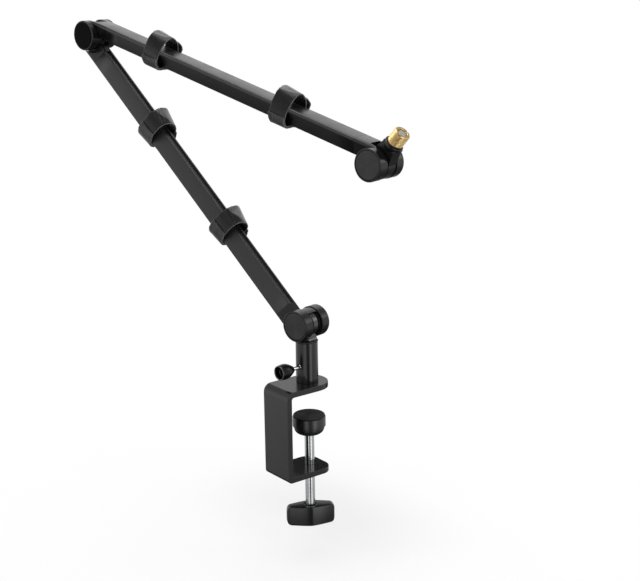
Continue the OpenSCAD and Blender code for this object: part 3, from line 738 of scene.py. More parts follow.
@dataclass
class Piece:
    """A finished mesh piece and what it stands for.

    Args:
        name: Object name.
        body: The CAD body that it rides on.
        slot: The record's material slot.
        node: The CAD node that it replaces, or nothing.
        finish: The finish's name, where it isn't the slot's.
    """

    name: str
    body: Body
    slot: str
    node: str = ""
    finish: str = ""

    def place(self, mesh: bpy.types.Mesh, materials: Materials) -> bpy.types.Object:
        """Makes the object, gives it its finish and ties it to its body.

        Args:
            mesh: The mesh, in the shared frame's metres.
            materials: The finished materials, by name.

        Returns:
            The object.
        """
        obj = link_object(self.name, mesh)
        mesh.materials.clear()
        mesh.materials.append(materials[self.finish or self.slot])
        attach(obj, self.body.value)
        if self.node:
            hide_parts(self.node)
        log.info("%s on %s: %d faces", self.name, self.body.value, len(mesh.polygons))
        return obj


def cleaned(mesh: bpy.types.Mesh, smooth_deg: float, merge: bool = True) -> bpy.types.Mesh:
    """Merges doubled points, turns the faces outwards and shades them smooth.

    Args:
        mesh: The mesh, changed in place.
        smooth_deg: Edges sharper than this stay crisp.
        merge: Merges points that lie together, such as those at a pole.

    Returns:
        The same mesh.
    """
    bm = bmesh.new()
    bm.from_mesh(mesh)
    if merge:
        bmesh.ops.remove_doubles(bm, verts=bm.verts, dist=MERGE_M)
    bmesh.ops.recalc_face_normals(bm, faces=bm.faces)
    bm.to_mesh(mesh)
    bm.free()
    mesh.shade_smooth()
    mesh.set_sharp_from_angle(angle=math.radians(smooth_deg))
    return mesh


def new_mesh(name: str, points: Array, faces: list) -> bpy.types.Mesh:
    """Makes a mesh.

    Args:
        name: Mesh name.
        points: Its points, in metres.
        faces: Lists of point indices.

    Returns:
        The mesh.
    """
    mesh = bpy.data.meshes.new(name)
    mesh.from_pydata(np.asarray(points, float).reshape(-1, 3).tolist(), [], faces)
    return mesh


def grid_faces(rows: int, cols: int, closed: bool = False, capped: bool = False) -> list[list[int]]:
    """Quads of a grid of points stored row by row, whose rows are rings.

    Args:
        rows: Rings of points.
        cols: Points in a ring.
        closed: Joins the last ring to the first.
        capped: Closes the first and last rings with a face each.

    Returns:
        The faces.
    """
    i = np.arange(rows if closed else rows - 1)[:, None]
    j = np.arange(cols)[None, :]
    i2, j2 = (i + 1) % rows, (j + 1) % cols
    quads = np.stack([i * cols + j, i * cols + j2, i2 * cols + j2, i2 * cols + j], axis=-1)
    caps = [list(range(cols)), list(range((rows - 1) * cols, rows * cols))] if capped else []
    return quads.reshape(-1, 4).tolist() + caps


class Axis(Enum):
    """A local axis, as the places of x, y and z among two coordinates across it and one along it."""

    X = (2, 0, 1)
    Y = (1, 2, 0)
    Z = (0, 1, 2)


def around(radius: Array, dist: Array, turns: int, axis: Axis) -> Array:
    """Points of a turned surface: radius times cosine and sine of the angle, and the distance along the axis.

    Args:
        radius: One radius per ring, or one row of radii per ring.
        dist: One distance per ring.
        turns: Steps round the axis.
        axis: The local axis.

    Returns:
        Local points, one ring per row.
    """
    ang = np.linspace(0, 2 * math.pi, turns, endpoint=False)
    radius = radius if radius.ndim == 2 else radius[:, None]
    parts = radius * np.cos(ang), radius * np.sin(ang), dist[:, None] + 0 * ang
    return np.stack([parts[k] for k in axis.value], axis=-1)


def lathe(
    name: str, profile: Array, place: str, axis: Axis, turns: int = 96, smooth_deg: float = 30.0
) -> bpy.types.Mesh:
    """Turns a closed or axis-to-axis profile about a local axis.

    Args:
        name: Mesh name.
        profile: Rows of (radius, distance along the axis).
        place: Name of the local frame.
        axis: The local axis.
        turns: Steps round the axis.
        smooth_deg: Edges sharper than this stay crisp.

    Returns:
        The mesh.
    """
    profile = np.asarray(profile, float)
    points = around(profile[:, 0], profile[:, 1], turns, axis)
    mesh = new_mesh(name, PLACES[place].metres(points), grid_faces(len(profile), turns))
    return cleaned(mesh, smooth_deg)


def ring_uv(mesh: bpy.types.Mesh, place: Place, scale: float = 20.0) -> None:
    """Adds a UV map "ring": u is the angle about the place's y axis in turns, v the radius over the scale.

    Args:
        mesh: A mesh in the shared frame's metres.
        place: The local frame.
        scale: Radius at which v is 1.
    """
    points = np.empty(len(mesh.vertices) * 3)
    mesh.vertices.foreach_get("co", points)
    local = (points.reshape(-1, 3) / MM - place.origin) @ place.basis
    corners = np.empty(len(mesh.loops), int)
    mesh.loops.foreach_get("vertex_index", corners)
    starts, totals = np.empty(len(mesh.polygons), int), np.empty(len(mesh.polygons), int)
    mesh.polygons.foreach_get("loop_start", starts)
    mesh.polygons.foreach_get("loop_total", totals)
    turn = np.arctan2(local[:, 2], local[:, 0])[corners] / (2 * math.pi) + 0.5
    turn -= np.round(turn - np.repeat(turn[starts], totals))
    far = np.hypot(local[:, 0], local[:, 2])[corners] / scale
    mesh.uv_layers.new(name="ring").data.foreach_set("uv", np.column_stack([turn, far]).ravel())


def apply_boolean(obj: bpy.types.Object, cut: bpy.types.Mesh, smooth_deg: float = 28.0) -> None:
    """Subtracts a mesh from an object.

    Args:
        obj: What is cut.
        cut: The tool, deleted afterwards.
        smooth_deg: Edges sharper than this stay crisp.
    """
    tool = link_object(cut.name, cut)
    mod = obj.modifiers.new("cut", "BOOLEAN")
    mod.operation = "DIFFERENCE"
    mod.solver = "EXACT"
    mod.object = tool
    graph = bpy.context.evaluated_depsgraph_get()
    mesh = bpy.data.meshes.new_from_object(obj.evaluated_get(graph))
    obj.modifiers.remove(mod)
    old, obj.data = obj.data, mesh
    bpy.data.objects.remove(tool)
    for unused in (old, cut):
        bpy.data.meshes.remove(unused)
    mesh.shade_smooth()
    mesh.set_sharp_from_angle(angle=math.radians(smooth_deg))


# Hard pieces from the solids


@dataclass(frozen=True)
class Casting:
    """A hard piece that is a refined copy of its solid.

    Args:
        node: The CAD node.
        body: The body that it rides on.
        slot: Its material slot.
        bevel: Width of its rounded edges.
        segments: Steps in a rounded edge.
        finish: Its finish, where it isn't the slot's.
        round_deg: Edges sharper than this are rounded.
        flat_deg: Faces within this angle are one flat face.
    """

    node: str
    body: Body
    slot: str
    bevel: float
    segments: int = 2
    finish: str = ""
    round_deg: float = 38.0
    flat_deg: float = 0.5

    def build(self, nodes: dict[str, bpy.types.Object], materials: Materials) -> None:
        """Places the refined copy.

        Args:
            nodes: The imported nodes' objects, by name.
            materials: The finished materials, by name.
        """
        name = "fine_" + self.node
        mesh = nodes[self.node].data.copy()
        self._join_faces(mesh)
        work = link_object(name, mesh)
        bevel = work.modifiers.new("edges", "BEVEL")
        bevel.width = self.bevel * MM
        bevel.segments = self.segments
        bevel.limit_method = "ANGLE"
        bevel.angle_limit = math.radians(self.round_deg)
        bevel.miter_outer = "MITER_ARC"
        bevel.harden_normals = True
        flat = work.modifiers.new("flat", "WEIGHTED_NORMAL")
        flat.weight = 60
        flat.keep_sharp = True
        graph = bpy.context.evaluated_depsgraph_get()
        done = bpy.data.meshes.new_from_object(work.evaluated_get(graph), depsgraph=graph)
        done.name = name
        bpy.data.objects.remove(work)
        bpy.data.meshes.remove(mesh)
        Piece(name, self.body, self.slot, self.node, self.finish).place(done, materials)

    def _join_faces(self, mesh: bpy.types.Mesh) -> None:
        """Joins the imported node's loose triangles into clean flat faces.

        Args:
            mesh: The copied mesh, changed in place.
        """
        bm = bmesh.new()
        bm.from_mesh(mesh)
        bmesh.ops.remove_doubles(bm, verts=bm.verts, dist=2e-6)
        angle = math.radians(self.flat_deg)
        bmesh.ops.dissolve_limit(bm, angle_limit=angle, verts=bm.verts, edges=bm.edges)
        bmesh.ops.dissolve_degenerate(bm, dist=4e-6, edges=bm.edges)
        bm.to_mesh(mesh)
        bm.free()
        for uv in list(mesh.uv_layers):
            mesh.uv_layers.remove(uv)
        mesh.shade_smooth()


CASTINGS: tuple[Casting, ...] = (
    Casting("clamp_bracket", Body.CLAMP, "black_powder_coat", 0.7, 3),
    Casting("jaw_pad", Body.CLAMP, "black_rubber", 0.25),
    Casting("post", Body.CLAMP, "black_anodised", 0.15),
    Casting("post_bolt", Body.CLAMP, "zinc_steel", 0.15),
    Casting("bushing", Body.CLAMP, "nylon", 0.12),
    Casting("spindle", Body.SWIVEL, "bright_steel", 0.15),
    Casting("swivel_head", Body.SWIVEL, "black_casting", 0.5, 3, "gloss_barrel"),
    Casting("base_fork", Body.LOWER, "black_casting", 0.5, 3),
    Casting("elbow_tongue", Body.LOWER, "black_casting", 0.5, 3),
    Casting("elbow_fork", Body.UPPER, "black_casting", 0.5, 3),
    Casting("tip_fork", Body.UPPER, "black_casting", 0.5, 3),
    Casting("tip_head", Body.TIP, "black_casting", 0.5, 3),
    Casting("handle_screw", Body.SCREW, "zinc_steel", 0.2),
    Casting("pad_clip", Body.PAD, "zinc_steel", 0.1),
    Casting("lock_tip", Body.LOCK, "brass", 0.15),
    Casting("lower_grub_screws", Body.LOWER, "zinc_steel", 0.15),
    Casting("upper_grub_screws", Body.UPPER, "zinc_steel", 0.15),
)


# Hinges


# Name of the hinge, and the local frame, body and finish of its caps
HINGES: tuple[tuple[str, str, Body, str], ...] = (
    ("base", "lower", Body.LOWER, "satin_cap"),
    # The elbow's caps take the near-black finish that paints in their dark reflection.
    ("elbow", "upper", Body.UPPER, "gloss_cap"),
    ("tip", "tip_fork", Body.UPPER, "satin_cap"),
)


@dataclass(frozen=True)
class HingeCap:
    """A push-in cap: a plain face with a soft rim, and a ring that goes into the disc.

    Args:
        radius: Radius of the cap.
        face: Distance of its face from the arm's middle.
        floor: Distance of the floor of the disc's recess.
        rim: Radius of the soft rim.
        ring_r: Outer radius of the ring.
        ring_wall: Thickness of the ring.
        ring_deep: Distance of the ring's inner end.
    """

    radius: float = 14.0
    face: float = 17.45
    floor: float = 15.7
    rim: float = 0.7
    ring_r: float = 9.45
    ring_wall: float = 1.2
    ring_deep: float = 14.25

    def profile(self) -> Array:
        """The cap's outline, from the axis outward and back: flat face, quarter circle, ring.

        Returns:
            Rows of (radius, distance along the axis).
        """
        t = np.linspace(0, math.pi / 2, 6)
        flat = self.radius - self.rim
        rim = np.column_stack([flat + self.rim * np.sin(t), self.face - self.rim + self.rim * np.cos(t)])
        face = np.column_stack([np.linspace(0, flat, 10)[:-1], np.full(9, self.face)])
        inner = self.ring_r - self.ring_wall
        return np.vstack([face, rim, [
            [self.radius, self.floor], [self.ring_r, self.floor], [self.ring_r, self.ring_deep],
            [inner, self.ring_deep], [inner, self.floor], [0, self.floor]]])

    def build(self, materials: Materials) -> None:
        """Places a cap at the front and the back of each hinge.

        Args:
            materials: The finished materials, by name.
        """
        for hinge, place, body, slot in HINGES:
            for side, way in (("front", -1), ("back", 1)):
                name = f"cap_{hinge}_{side}"
                mesh = lathe(name, self.profile() * np.array([1, way]), place, Axis.Y, 128)
                ring_uv(mesh, PLACES[place])
                Piece(name, body, slot, f"{hinge}_cap_{side}").place(mesh, materials)


def dress_inner(nodes: dict[str, bpy.types.Object], materials: Materials) -> None:
    """Gives the hinges' inner pieces, which stay as packed, their finishes.

    Args:
        nodes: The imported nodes' objects, by name.
        materials: The finished materials, by name.
    """
    finishes = {"bolt": "zinc_steel", "nut": "zinc_steel", "spring": "spring_steel", "washers": "nylon"}
    for hinge, *_ in HINGES:
        for kind, finish in finishes.items():
            mesh = nodes[f"{hinge}_{kind}"].data
            mesh.materials.clear()
            mesh.materials.append(materials[finish])
            log.info("%s_%s stays as packed, in %s", hinge, kind, finish)


# Arm tubes


@dataclass(frozen=True)
class ArmTube:
    """An arm's coated extrusion: a crowned outer face, sloping sides and a grooved narrow inner face.

    Args:
        name: Object name.
        node: The CAD node that it replaces.
        place: Name of the arm's local frame.
        body: The body that it rides on.
        finish: Its finish.
        w_out: Width at the outer shoulders.
        w_in: Width at the inner face.
        out: Height of the crown above the hinge line.
        inn: Depth of the inner face below it.
        round_out: Radius of the outer shoulders.
        round_in: Radius of the inner corners.
        crown: Radius of the crowned face.
        groove_w: Width of the groove.
        groove_d: Its depth.
        groove_r: Radius of the groove's floor and lips.
        head: Length of the cast head at each end.
        gap: Clearance between head and tube.
        chamfer: Length of the small chamfer at each end.
        chamfer_scale: Size of the end against the section.
        end_scale: Size of the ring that the flat closing face fills.
    """

    name: str
    node: str
    place: str
    body: Body
    finish: str
    w_out: float = 23.0
    w_in: float = 11.2
    out: float = 17.4
    inn: float = 0.7
    round_out: float = 2.6
    round_in: float = 2.0
    crown: float = 120.0
    groove_w: float = 5.2
    groove_d: float = 2.2
    groove_r: float = 0.35
    head: float = 26.0
    gap: float = 0.02
    chamfer: float = 0.25
    chamfer_scale: float = 0.975
    end_scale: float = 0.35

    def section(self) -> Array:
        """The closed outline in the local yz plane, from the groove round over the crown and back.

        Each corner is an arc between the tangents of its two neighbours, as in the part's source.

        Returns:
            Rows of (y, z).
        """
        ro, ri, big, f = self.round_out, self.round_in, self.crown, self.groove_r
        wide = self.w_out / 2 - ro
        shoulder = np.array([wide, self.out - big + math.sqrt((big - ro) ** 2 - wide**2)])
        corner = np.array([self.w_in / 2 - ri, ri - self.inn])
        run = shoulder - corner
        side = math.atan2(run[1], run[0]) - math.acos((ri - ro) / math.hypot(*run))
        top = math.atan2(shoulder[1] - self.out + big, shoulder[0])
        centre = np.array([0, self.out - big])

        def arc(middle: Array, radius: float, start: float, end: float, steps: int) -> Array:
            """Points of an arc, from one angle to another."""
            a = np.linspace(start, end, steps)
            return middle + radius * np.column_stack([np.cos(a), np.sin(a)])

        g, d = self.groove_w / 2, self.groove_d - self.inn
        floor = arc(np.array([g - f, d - f]), f, math.pi / 2, 0, 5)
        lip = arc(np.array([g + f, f - self.inn]), f, math.pi, 1.5 * math.pi, 5)
        half = np.vstack([
            floor, lip, arc(corner, ri, -math.pi / 2, side, 12)[1:], arc(shoulder, ro, side, top, 16)[1:],
            arc(centre, big, top, math.pi / 2, 12)[1:]])
        return np.vstack([half, half[-2::-1] * np.array([-1, 1])])

    def build(self, materials: Materials) -> None:
        """Carries the section along the arm, with a small chamfer and a face that closes it at both ends.

        Args:
            materials: The finished materials, by name.
        """
        ring = self.section()
        centre = np.array([0.0, self.out / 2])
        first, last = self.head + self.gap, LAY.reach - self.head - self.gap
        xs = np.concatenate([
            [first, first, first + self.chamfer], np.linspace(first + 20, last - 20, 9),
            [last - self.chamfer, last, last]])
        scale = np.ones(len(xs))
        scale[[1, -2]] = self.chamfer_scale
        scale[[0, -1]] = self.end_scale
        yz = centre + (ring - centre)[None] * scale[:, None, None]
        points = np.concatenate([np.repeat(xs[:, None, None], len(ring), 1), yz], axis=-1)
        faces = grid_faces(len(xs), len(ring), capped=True)
        mesh = cleaned(new_mesh(self.name, PLACES[self.place].metres(points), faces), 40, merge=False)
        Piece(self.name, self.body, "arm_coating", self.node, self.finish).place(mesh, materials)


# Clamp screw, handle and pad


@dataclass(frozen=True)
class ThreadedRod:
    """A turned rod with a rounded helical thread on part of its length.

    Args:
        radius: Outer radius of the thread.
        pitch: Its pitch.
        depth: Its depth.
        start: Where it starts along the axis.
        end: Where it ends.
        axis: The local axis.
        pitch_steps: Steps in a pitch.
        turns: Steps round the axis.
    """

    radius: float
    pitch: float
    depth: float
    start: float
    end: float
    axis: Axis = Axis.Z
    pitch_steps: int = 14
    turns: int = 40

    def mesh(self, name: str, place: str, before: Points, after: Points) -> bpy.types.Mesh:
        """Makes the rod.

        On the thread the radius is the outer one less depth * fade * (1 - w ** 0.8). w is a cosine, 0 to 1,
        of the distance in pitches less the angle in turns. The fade goes from 0 to 1 in the first pitch and
        back in the last.

        Args:
            name: Mesh name.
            place: Name of the local frame.
            before: Rows of (radius, distance) ahead of the thread.
            after: The same behind it.

        Returns:
            The mesh.
        """
        n = max(2, int((self.end - self.start) / self.pitch * self.pitch_steps))
        h = np.linspace(self.start, self.end, n)
        ang = np.linspace(0, 2 * math.pi, self.turns, endpoint=False)
        wave = 0.5 + 0.5 * np.cos(2 * math.pi * h[:, None] / self.pitch - ang[None, :])
        fade = np.clip(np.minimum(h - self.start, self.end - h) / self.pitch, 0, 1)[:, None]
        thread = self.radius - self.depth * fade * (1 - wave**0.8)
        ends = [np.array(rows, float) for rows in (before, after)]
        low, high = (np.repeat(rows[:, :1], self.turns, 1) for rows in ends)
        dist = np.concatenate([ends[0][:, 1], h, ends[1][:, 1]])
        points = around(np.vstack([low, thread, high]), dist, self.turns, self.axis)
        return cleaned(new_mesh(name, PLACES[place].metres(points), grid_faces(len(dist), self.turns)), 40)


@dataclass(frozen=True)
class ClampScrew:
    """The clamp's bright screw, with its pad and its bow-tie handle.

    Args:
        radius: Radius of the screw.
        pitch: Pitch of its thread.
        thread_deep: Depth of the thread, shallow because the photograph shows none.
        plain: Length of the plain lower end, most of it in the handle.
        neck_r: Radius of the neck that the pad's clip holds.
        pad_under: Height of the pad's underside.
        pad_r: Radius of the pad.
        pad_h: Height of the pad, without its rubber face.
        band_h: Height of the pad's upright band, above its domed underside.
        liner_t: Thickness of the rubber face.
        ring_count: Number of thin rings in the rubber.
        ring_step: Distance between them.
        ring_deep: Their depth.
        wing_len: Length of the handle.
        wing_h: Its height.
        wing_mid: Its thickness at the middle.
        wing_end: Its thickness at the ends.
        wing_round: Radius of its ends, seen from the side.
        wing_edge: Radius of its long edges.
    """

    radius: float = 5.0
    pitch: float = 1.5
    thread_deep: float = 0.02
    plain: float = 22.0
    neck_r: float = 3.5
    pad_under: float = -50.0
    pad_r: float = 17.0
    pad_h: float = 18.5
    band_h: float = 10.5
    liner_t: float = 1.5
    ring_count: int = 5
    ring_step: float = 2.8
    ring_deep: float = 0.45
    wing_len: float = 50.0
    wing_h: float = 21.0
    wing_mid: float = 21.0
    wing_end: float = 8.0
    wing_round: float = 4.2
    wing_edge: float = 1.3

    def build(self, materials: Materials) -> None:
        """Places the screw, the pad, its rubber face and the handle.

        Args:
            materials: The finished materials, by name.
        """
        self._screw(materials)
        self._pad(materials)
        self._face(materials)
        self._handle(materials)

    def _screw(self, materials: Materials) -> None:
        """Places the screw: plain end, thread, and the neck and head that hold the pad.

        Args:
            materials: The finished materials, by name.
        """
        low, top = LAY.handle_under + 5.05, self.pad_under
        r, neck = self.radius, self.neck_r
        rod = ThreadedRod(r, self.pitch, self.thread_deep, low + self.plain, top - 3)
        mesh = rod.mesh(
            "screw_rod", "screw",
            [[0, low], [r - 0.3, low], [r, low + 0.3], [r, low + self.plain - 0.5]],
            [[r, top - 2.5], [r, top - 0.8], [r - 0.6, top - 0.2], [neck, top - 0.1], [neck, top + 4],
             [r, top + 4.6], [r, top + 7], [neck, top + 8.6], [0, top + 8.7]])
        Piece("screw_rod", Body.SCREW, "bright_steel", "clamp_screw").place(mesh, materials)

    def _pad(self, materials: Materials) -> None:
        """Places the pad: a bore, a quarter circle as its underside, a step and an upright band.

        Args:
            materials: The finished materials, by name.
        """
        r, z, top = self.pad_r, self.pad_under, self.pad_under + self.pad_h
        step = z + self.pad_h - self.band_h
        dome = 0.8 * (self.pad_h - self.band_h)
        lip, bore = r - 1.4, self.radius + 0.35
        t = np.linspace(0, math.pi / 2, 14)
        curve = np.column_stack([lip - dome + dome * np.sin(t), z + dome - dome * np.cos(t)])
        profile = np.vstack([
            [[0, z + 9], [bore, z + 9], [bore, z + 0.6], [bore + 0.6, z + 0.02]], curve,
            [[lip, step - 0.5], [r - 0.9, step - 0.1], [r - 0.25, step + 0.05], [r, step + 0.35],
             [r, top - 0.9], [r - 0.25, top - 0.3], [r - 0.9, top], [0, top]]])
        mesh = lathe("pad_cup", profile, "screw", Axis.Z)
        Piece("pad_cup", Body.PAD, "black_plastic", "pressure_pad").place(mesh, materials)

    def _face(self, materials: Materials) -> None:
        """Places the pad's rubber face, a disc with thin rings cut into it.

        Args:
            materials: The finished materials, by name.
        """
        r, top, deep = self.pad_r - 0.8, LAY.pad_top, LAY.pad_top - self.ring_deep
        rings = []
        for k in range(self.ring_count):
            at = r - 2.2 - k * self.ring_step
            rings += [[at, top], [at - 0.3, deep], [at - 0.9, deep], [at - 1.2, top]]
        under = top - self.liner_t
        profile = [[0, under], [r, under], [r, top - 0.4], [r - 0.4, top], *rings, [0, top]]
        mesh = lathe("pad_face", profile, "screw", Axis.Z)
        Piece("pad_face", Body.PAD, "black_rubber", "pad_liner").place(mesh, materials)

    def _handle(self, materials: Materials) -> None:
        """Places the bow-tie handle, lofted along its length.

        Each cross section is a rectangle with rounded corners. Its thickness falls with the distance from the
        middle to the power 1.35, and its top and bottom close in a quarter circle at both ends.

        Args:
            materials: The finished materials, by name.
        """
        half, end = self.wing_len / 2, self.wing_round
        u = np.linspace(-1, 1, 61)
        x = half * (0.35 * np.sin(u * math.pi / 2) + 0.65 * u)
        far = np.abs(x)
        thick = (self.wing_mid - (self.wing_mid - self.wing_end) * (far / half) ** 1.35) / 2
        edge = np.clip((far - (half - end)) / end, 0, 1)
        drop = end * (1 - np.sqrt(np.clip(1 - edge**2, 0, 1))) + 0.3 * np.clip(far / (half - end), 0, 1)
        wide = np.maximum(thick * (1 - 0.45 * edge**4), 0.6)
        r = np.minimum(self.wing_edge, np.maximum(0.05, thick - 0.2))
        r = np.minimum(np.minimum(r, self.wing_h / 2 - drop - 0.05), wide - 0.05)
        ang = np.linspace(0, math.pi / 2, 8) + np.radians([0, 90, 180, 270])[:, None]
        right, up = np.array([[1, -1, -1, 1], [1, 1, -1, -1]])
        middle = LAY.handle_under + self.wing_h / 2
        y = right[:, None] * (wide - r)[:, None, None] + r[:, None, None] * np.cos(ang)
        tall = self.wing_h / 2 - drop - r
        z = middle + up[:, None] * tall[:, None, None] + r[:, None, None] * np.sin(ang)
        points = np.stack([np.broadcast_to(x[:, None, None], y.shape), y, z], axis=-1)
        faces = grid_faces(len(x), ang.size, capped=True)
        mesh = cleaned(new_mesh("handle_wings", PLACES["handle"].metres(points), faces), 28, merge=False)
        piece = Piece("handle_wings", Body.SCREW, "black_plastic", "handle", "moulded_handle")
        apply_boolean(piece.place(mesh, materials), self._bore())

    def _bore(self) -> bpy.types.Mesh:
        """The tool that cuts the screw's bore with its countersink, and the small screw's recess from below.

        Returns:
            The tool's mesh.
        """
        low = LAY.handle_under
        high = low + self.wing_h
        bore = self.radius + 0.05
        return lathe("handle_tool", [
            [0, low - 1], [4.65, low - 1], [4.65, low + 3.2], [2.55, low + 3.2], [2.55, low + 4.9],
            [bore, low + 4.9], [bore, high - 1.9], [6.6, high - 0.9], [6.9, high + 1], [0, high + 1],
        ], "screw", Axis.Z, 64)


# Thumb screw


@dataclass(frozen=True)
class ThumbScrew:
    """The post's thumb screw: a bright rod and a cup-faced knob with a lip in a lighter colour, a painted
    highlight.

    Args:
        rod_r: Radius of the thread in the post.
        pitch: Its pitch.
        thread_deep: Its depth.
        shank_r: Radius of the bare shank outside the post.
        tip_end: Where the brass tip ends, from the post's axis.
        stem: Length of the shank that shows.
        length: Length of the knob.
        knob_r: Its largest radius.
        neck_r: Its radius at the shank.
        cup: Depth of the cup in its face.
        flare: Share of the length over which the knob widens.
    """

    rod_r: float = 2.5
    pitch: float = 0.8
    thread_deep: float = 0.22
    shank_r: float = 1.9
    tip_end: float = 7.6
    stem: float = 8.2
    length: float = 18.0
    knob_r: float = 8.0
    neck_r: float = 3.5
    cup: float = 6.0
    flare: float = 0.66

    def build(self, materials: Materials) -> None:
        """Places the rod, the knob and its lip.

        Args:
            materials: The finished materials, by name.
        """
        back = LAY.post_r + self.stem
        front = back + self.length
        self._rod(front - self.cup, materials)
        self._knob(back, front, materials)
        r = self.knob_r
        # The lip is a thin ring in a lighter colour than the knob, a painted highlight round the cup.
        mesh = lathe("knob_lip_painted_highlight", [
            [r - 0.62, front - 0.45], [r - 0.70, front - 0.12], [r - 0.95, front + 0.06],
            [r - 1.40, front + 0.09], [r - 1.66, front - 0.10], [r - 1.80, front - 0.60],
            [r - 1.20, front - 0.90], [r - 0.62, front - 0.45],
        ], "thumb", Axis.X, smooth_deg=60)
        Piece("knob_lip_painted_highlight", Body.THUMB, "black_plastic", finish="knob_lip_painted_highlight").place(mesh, materials)

    def _rod(self, floor: float, materials: Materials) -> None:
        """Places the rod, whose pin shows in the middle of the cup's floor.

        Args:
            floor: Distance of the cup's floor.
            materials: The finished materials, by name.
        """
        start, post, shank = self.tip_end + 0.1, LAY.post_r, self.shank_r
        rod = ThreadedRod(self.rod_r, self.pitch, self.thread_deep, start + 0.5, post - 1.2, Axis.X, 10, 32)
        mesh = rod.mesh(
            "thumb_bar", "thumb", [[0, start], [self.rod_r - 0.3, start]],
            [[shank, post - 0.8], [shank, floor - 1.2], [0.9, floor - 1.2], [0.9, floor + 0.2],
             [0, floor + 0.3]])
        Piece("thumb_bar", Body.THUMB, "bright_steel", "thumb_rod").place(mesh, materials)

    def _knob(self, back: float, front: float, materials: Materials) -> None:
        """Places the knob: its radius grows with a sine over the flare, then falls a little towards the lip.

        Args:
            back: Distance of its back end.
            front: Distance of its front end.
            materials: The finished materials, by name.
        """
        r, neck, floor, bore = self.knob_r, self.neck_r, front - self.cup, self.shank_r + 0.05
        t = np.linspace(0, 1, 22)
        grow = neck + (r - neck) * np.sin(np.clip(t / self.flare, 0, 1) * math.pi / 2)
        past = np.clip(t - self.flare, 0, 1) / (1 - self.flare)
        wide = np.where(past > 0, r - 0.55 * past**1.5, grow)
        side = np.column_stack([wide, back + 0.3 + (self.length - 1.1) * t])
        profile = np.vstack([
            [[bore, back + 0.1], [neck - 0.4, back]], side,
            [[r - 0.7, front - 0.35], [r - 0.95, front - 0.05], [r - 1.35, front], [r - 1.6, front - 0.3],
             [r - 1.75, front - 1.0], [r - 2.2, floor + 0.6], [r - 2.8, floor], [0.95, floor],
             [0.95, floor - 1.15], [bore, floor - 1.15], [bore, back + 0.1]]])
        mesh = lathe("knob", profile, "thumb", Axis.X, smooth_deg=34)
        Piece("knob", Body.THUMB, "black_plastic", "thumb_knob", "dark_knob").place(mesh, materials)


# Tip thread


@dataclass(frozen=True)
class TipThread:
    """The threaded end: a stud in a coarse-threaded adapter.

    Args:
        base: Where the adapter starts, from the tip hinge.
        length: Its length.
        radius: Outer radius of its thread.
        pitch: Pitch of its thread, 27 turns to the inch.
        thread_deep: Depth of its thread.
        stud_r: Outer radius of the stud.
        stud_pitch: Pitch of the stud, 16 turns to the inch.
        stud_deep: Depth of the stud's thread.
        stud_start: How far the stud starts behind the adapter.
        slot_w: Width of the slot across the adapter's end.
        slot_d: Depth of the slot.
    """

    base: float = 27.05
    length: float = 14.0
    radius: float = 7.95
    pitch: float = 0.941
    thread_deep: float = 0.42
    stud_r: float = 4.75
    stud_pitch: float = 1.5875
    stud_deep: float = 0.55
    stud_start: float = 8.9
    slot_w: float = 1.6
    slot_d: float = 1.6

    def build(self, materials: Materials) -> None:
        """Places the adapter and the stud.

        Args:
            materials: The finished materials, by name.
        """
        low, top = self.base, self.base + self.length
        bore, body = self.stud_r + 0.05, self.radius - 0.05
        rod = ThreadedRod(self.radius, self.pitch, self.thread_deep, low + 1.3, top - 0.9, Axis.X, 10, 80)
        mesh = rod.mesh(
            "adapter_ring", "tip",
            [[bore, low + 0.05], [body - 0.55, low + 0.05], [body, low + 0.6], [body, low + 1.1]],
            [[body - 0.45, top - 0.5], [body - 0.85, top - 0.02], [bore + 0.4, top - 0.02], [bore, top - 0.4],
             [bore, low + 0.05]])
        ring = Piece("adapter_ring", Body.TIP, "brass", "thread_adapter").place(mesh, materials)
        apply_boolean(ring, self._slot(top))
        low, end = self.base - self.stud_start, top - 1.0
        stud = ThreadedRod(
            self.stud_r, self.stud_pitch, self.stud_deep, low + 0.9, end - 1.2, Axis.X, 10, 48)
        mesh = stud.mesh(
            "stud_bar", "tip", [[0, low], [self.stud_r - 0.6, low]],
            [[self.stud_r - 0.5, end - 0.7], [self.stud_r - 1.1, end], [0, end]])
        Piece("stud_bar", Body.TIP, "bright_steel", "mic_stud").place(mesh, materials)

    def _slot(self, top: float) -> bpy.types.Mesh:
        """Makes the box that cuts the slot across the adapter's end.

        Args:
            top: Distance of the adapter's end.

        Returns:
            The box's mesh.
        """
        half = self.slot_w / 2
        corners = [[x, y, z] for x in (top - self.slot_d, top + 1) for y in (-20, 20) for z in (-half, half)]
        faces = [[0, 1, 3, 2], [4, 6, 7, 5], [0, 4, 5, 1], [2, 3, 7, 6], [0, 2, 6, 4], [1, 5, 7, 3]]
        return cleaned(new_mesh("slot_tool", PLACES["tip"].metres(corners), faces), 35, merge=False)


# Straps


Rim = tuple[tuple[float, float], ...]


def closed_curve(points: Rim, deg: Array) -> Array:
    """A smooth closed curve through points that are evenly spread over 360 degrees.

    Between two points the curve is the cubic whose slope at each is half the step between its neighbours.

    Args:
        points: The points, as (y, z), from 0 degrees on.
        deg: Angles at which the curve is read.

    Returns:
        One row of (y, z) per angle.
    """
    knots = np.array(points, float)
    n = len(knots)
    pos = (deg % 360.0) / 360.0 * n
    i = np.floor(pos).astype(int) % n
    t = (pos - np.floor(pos))[:, None]
    p0, p1, p2, p3 = knots[(i - 1) % n], knots[i], knots[(i + 1) % n], knots[(i + 2) % n]
    m1, m2 = (p2 - p0) / 2, (p3 - p1) / 2
    return ((2 * t**3 - 3 * t**2 + 1) * p1 + (t**3 - 2 * t**2 + t) * m1
            + (3 * t**2 - 2 * t**3) * p2 + (t**3 - t**2) * m2)


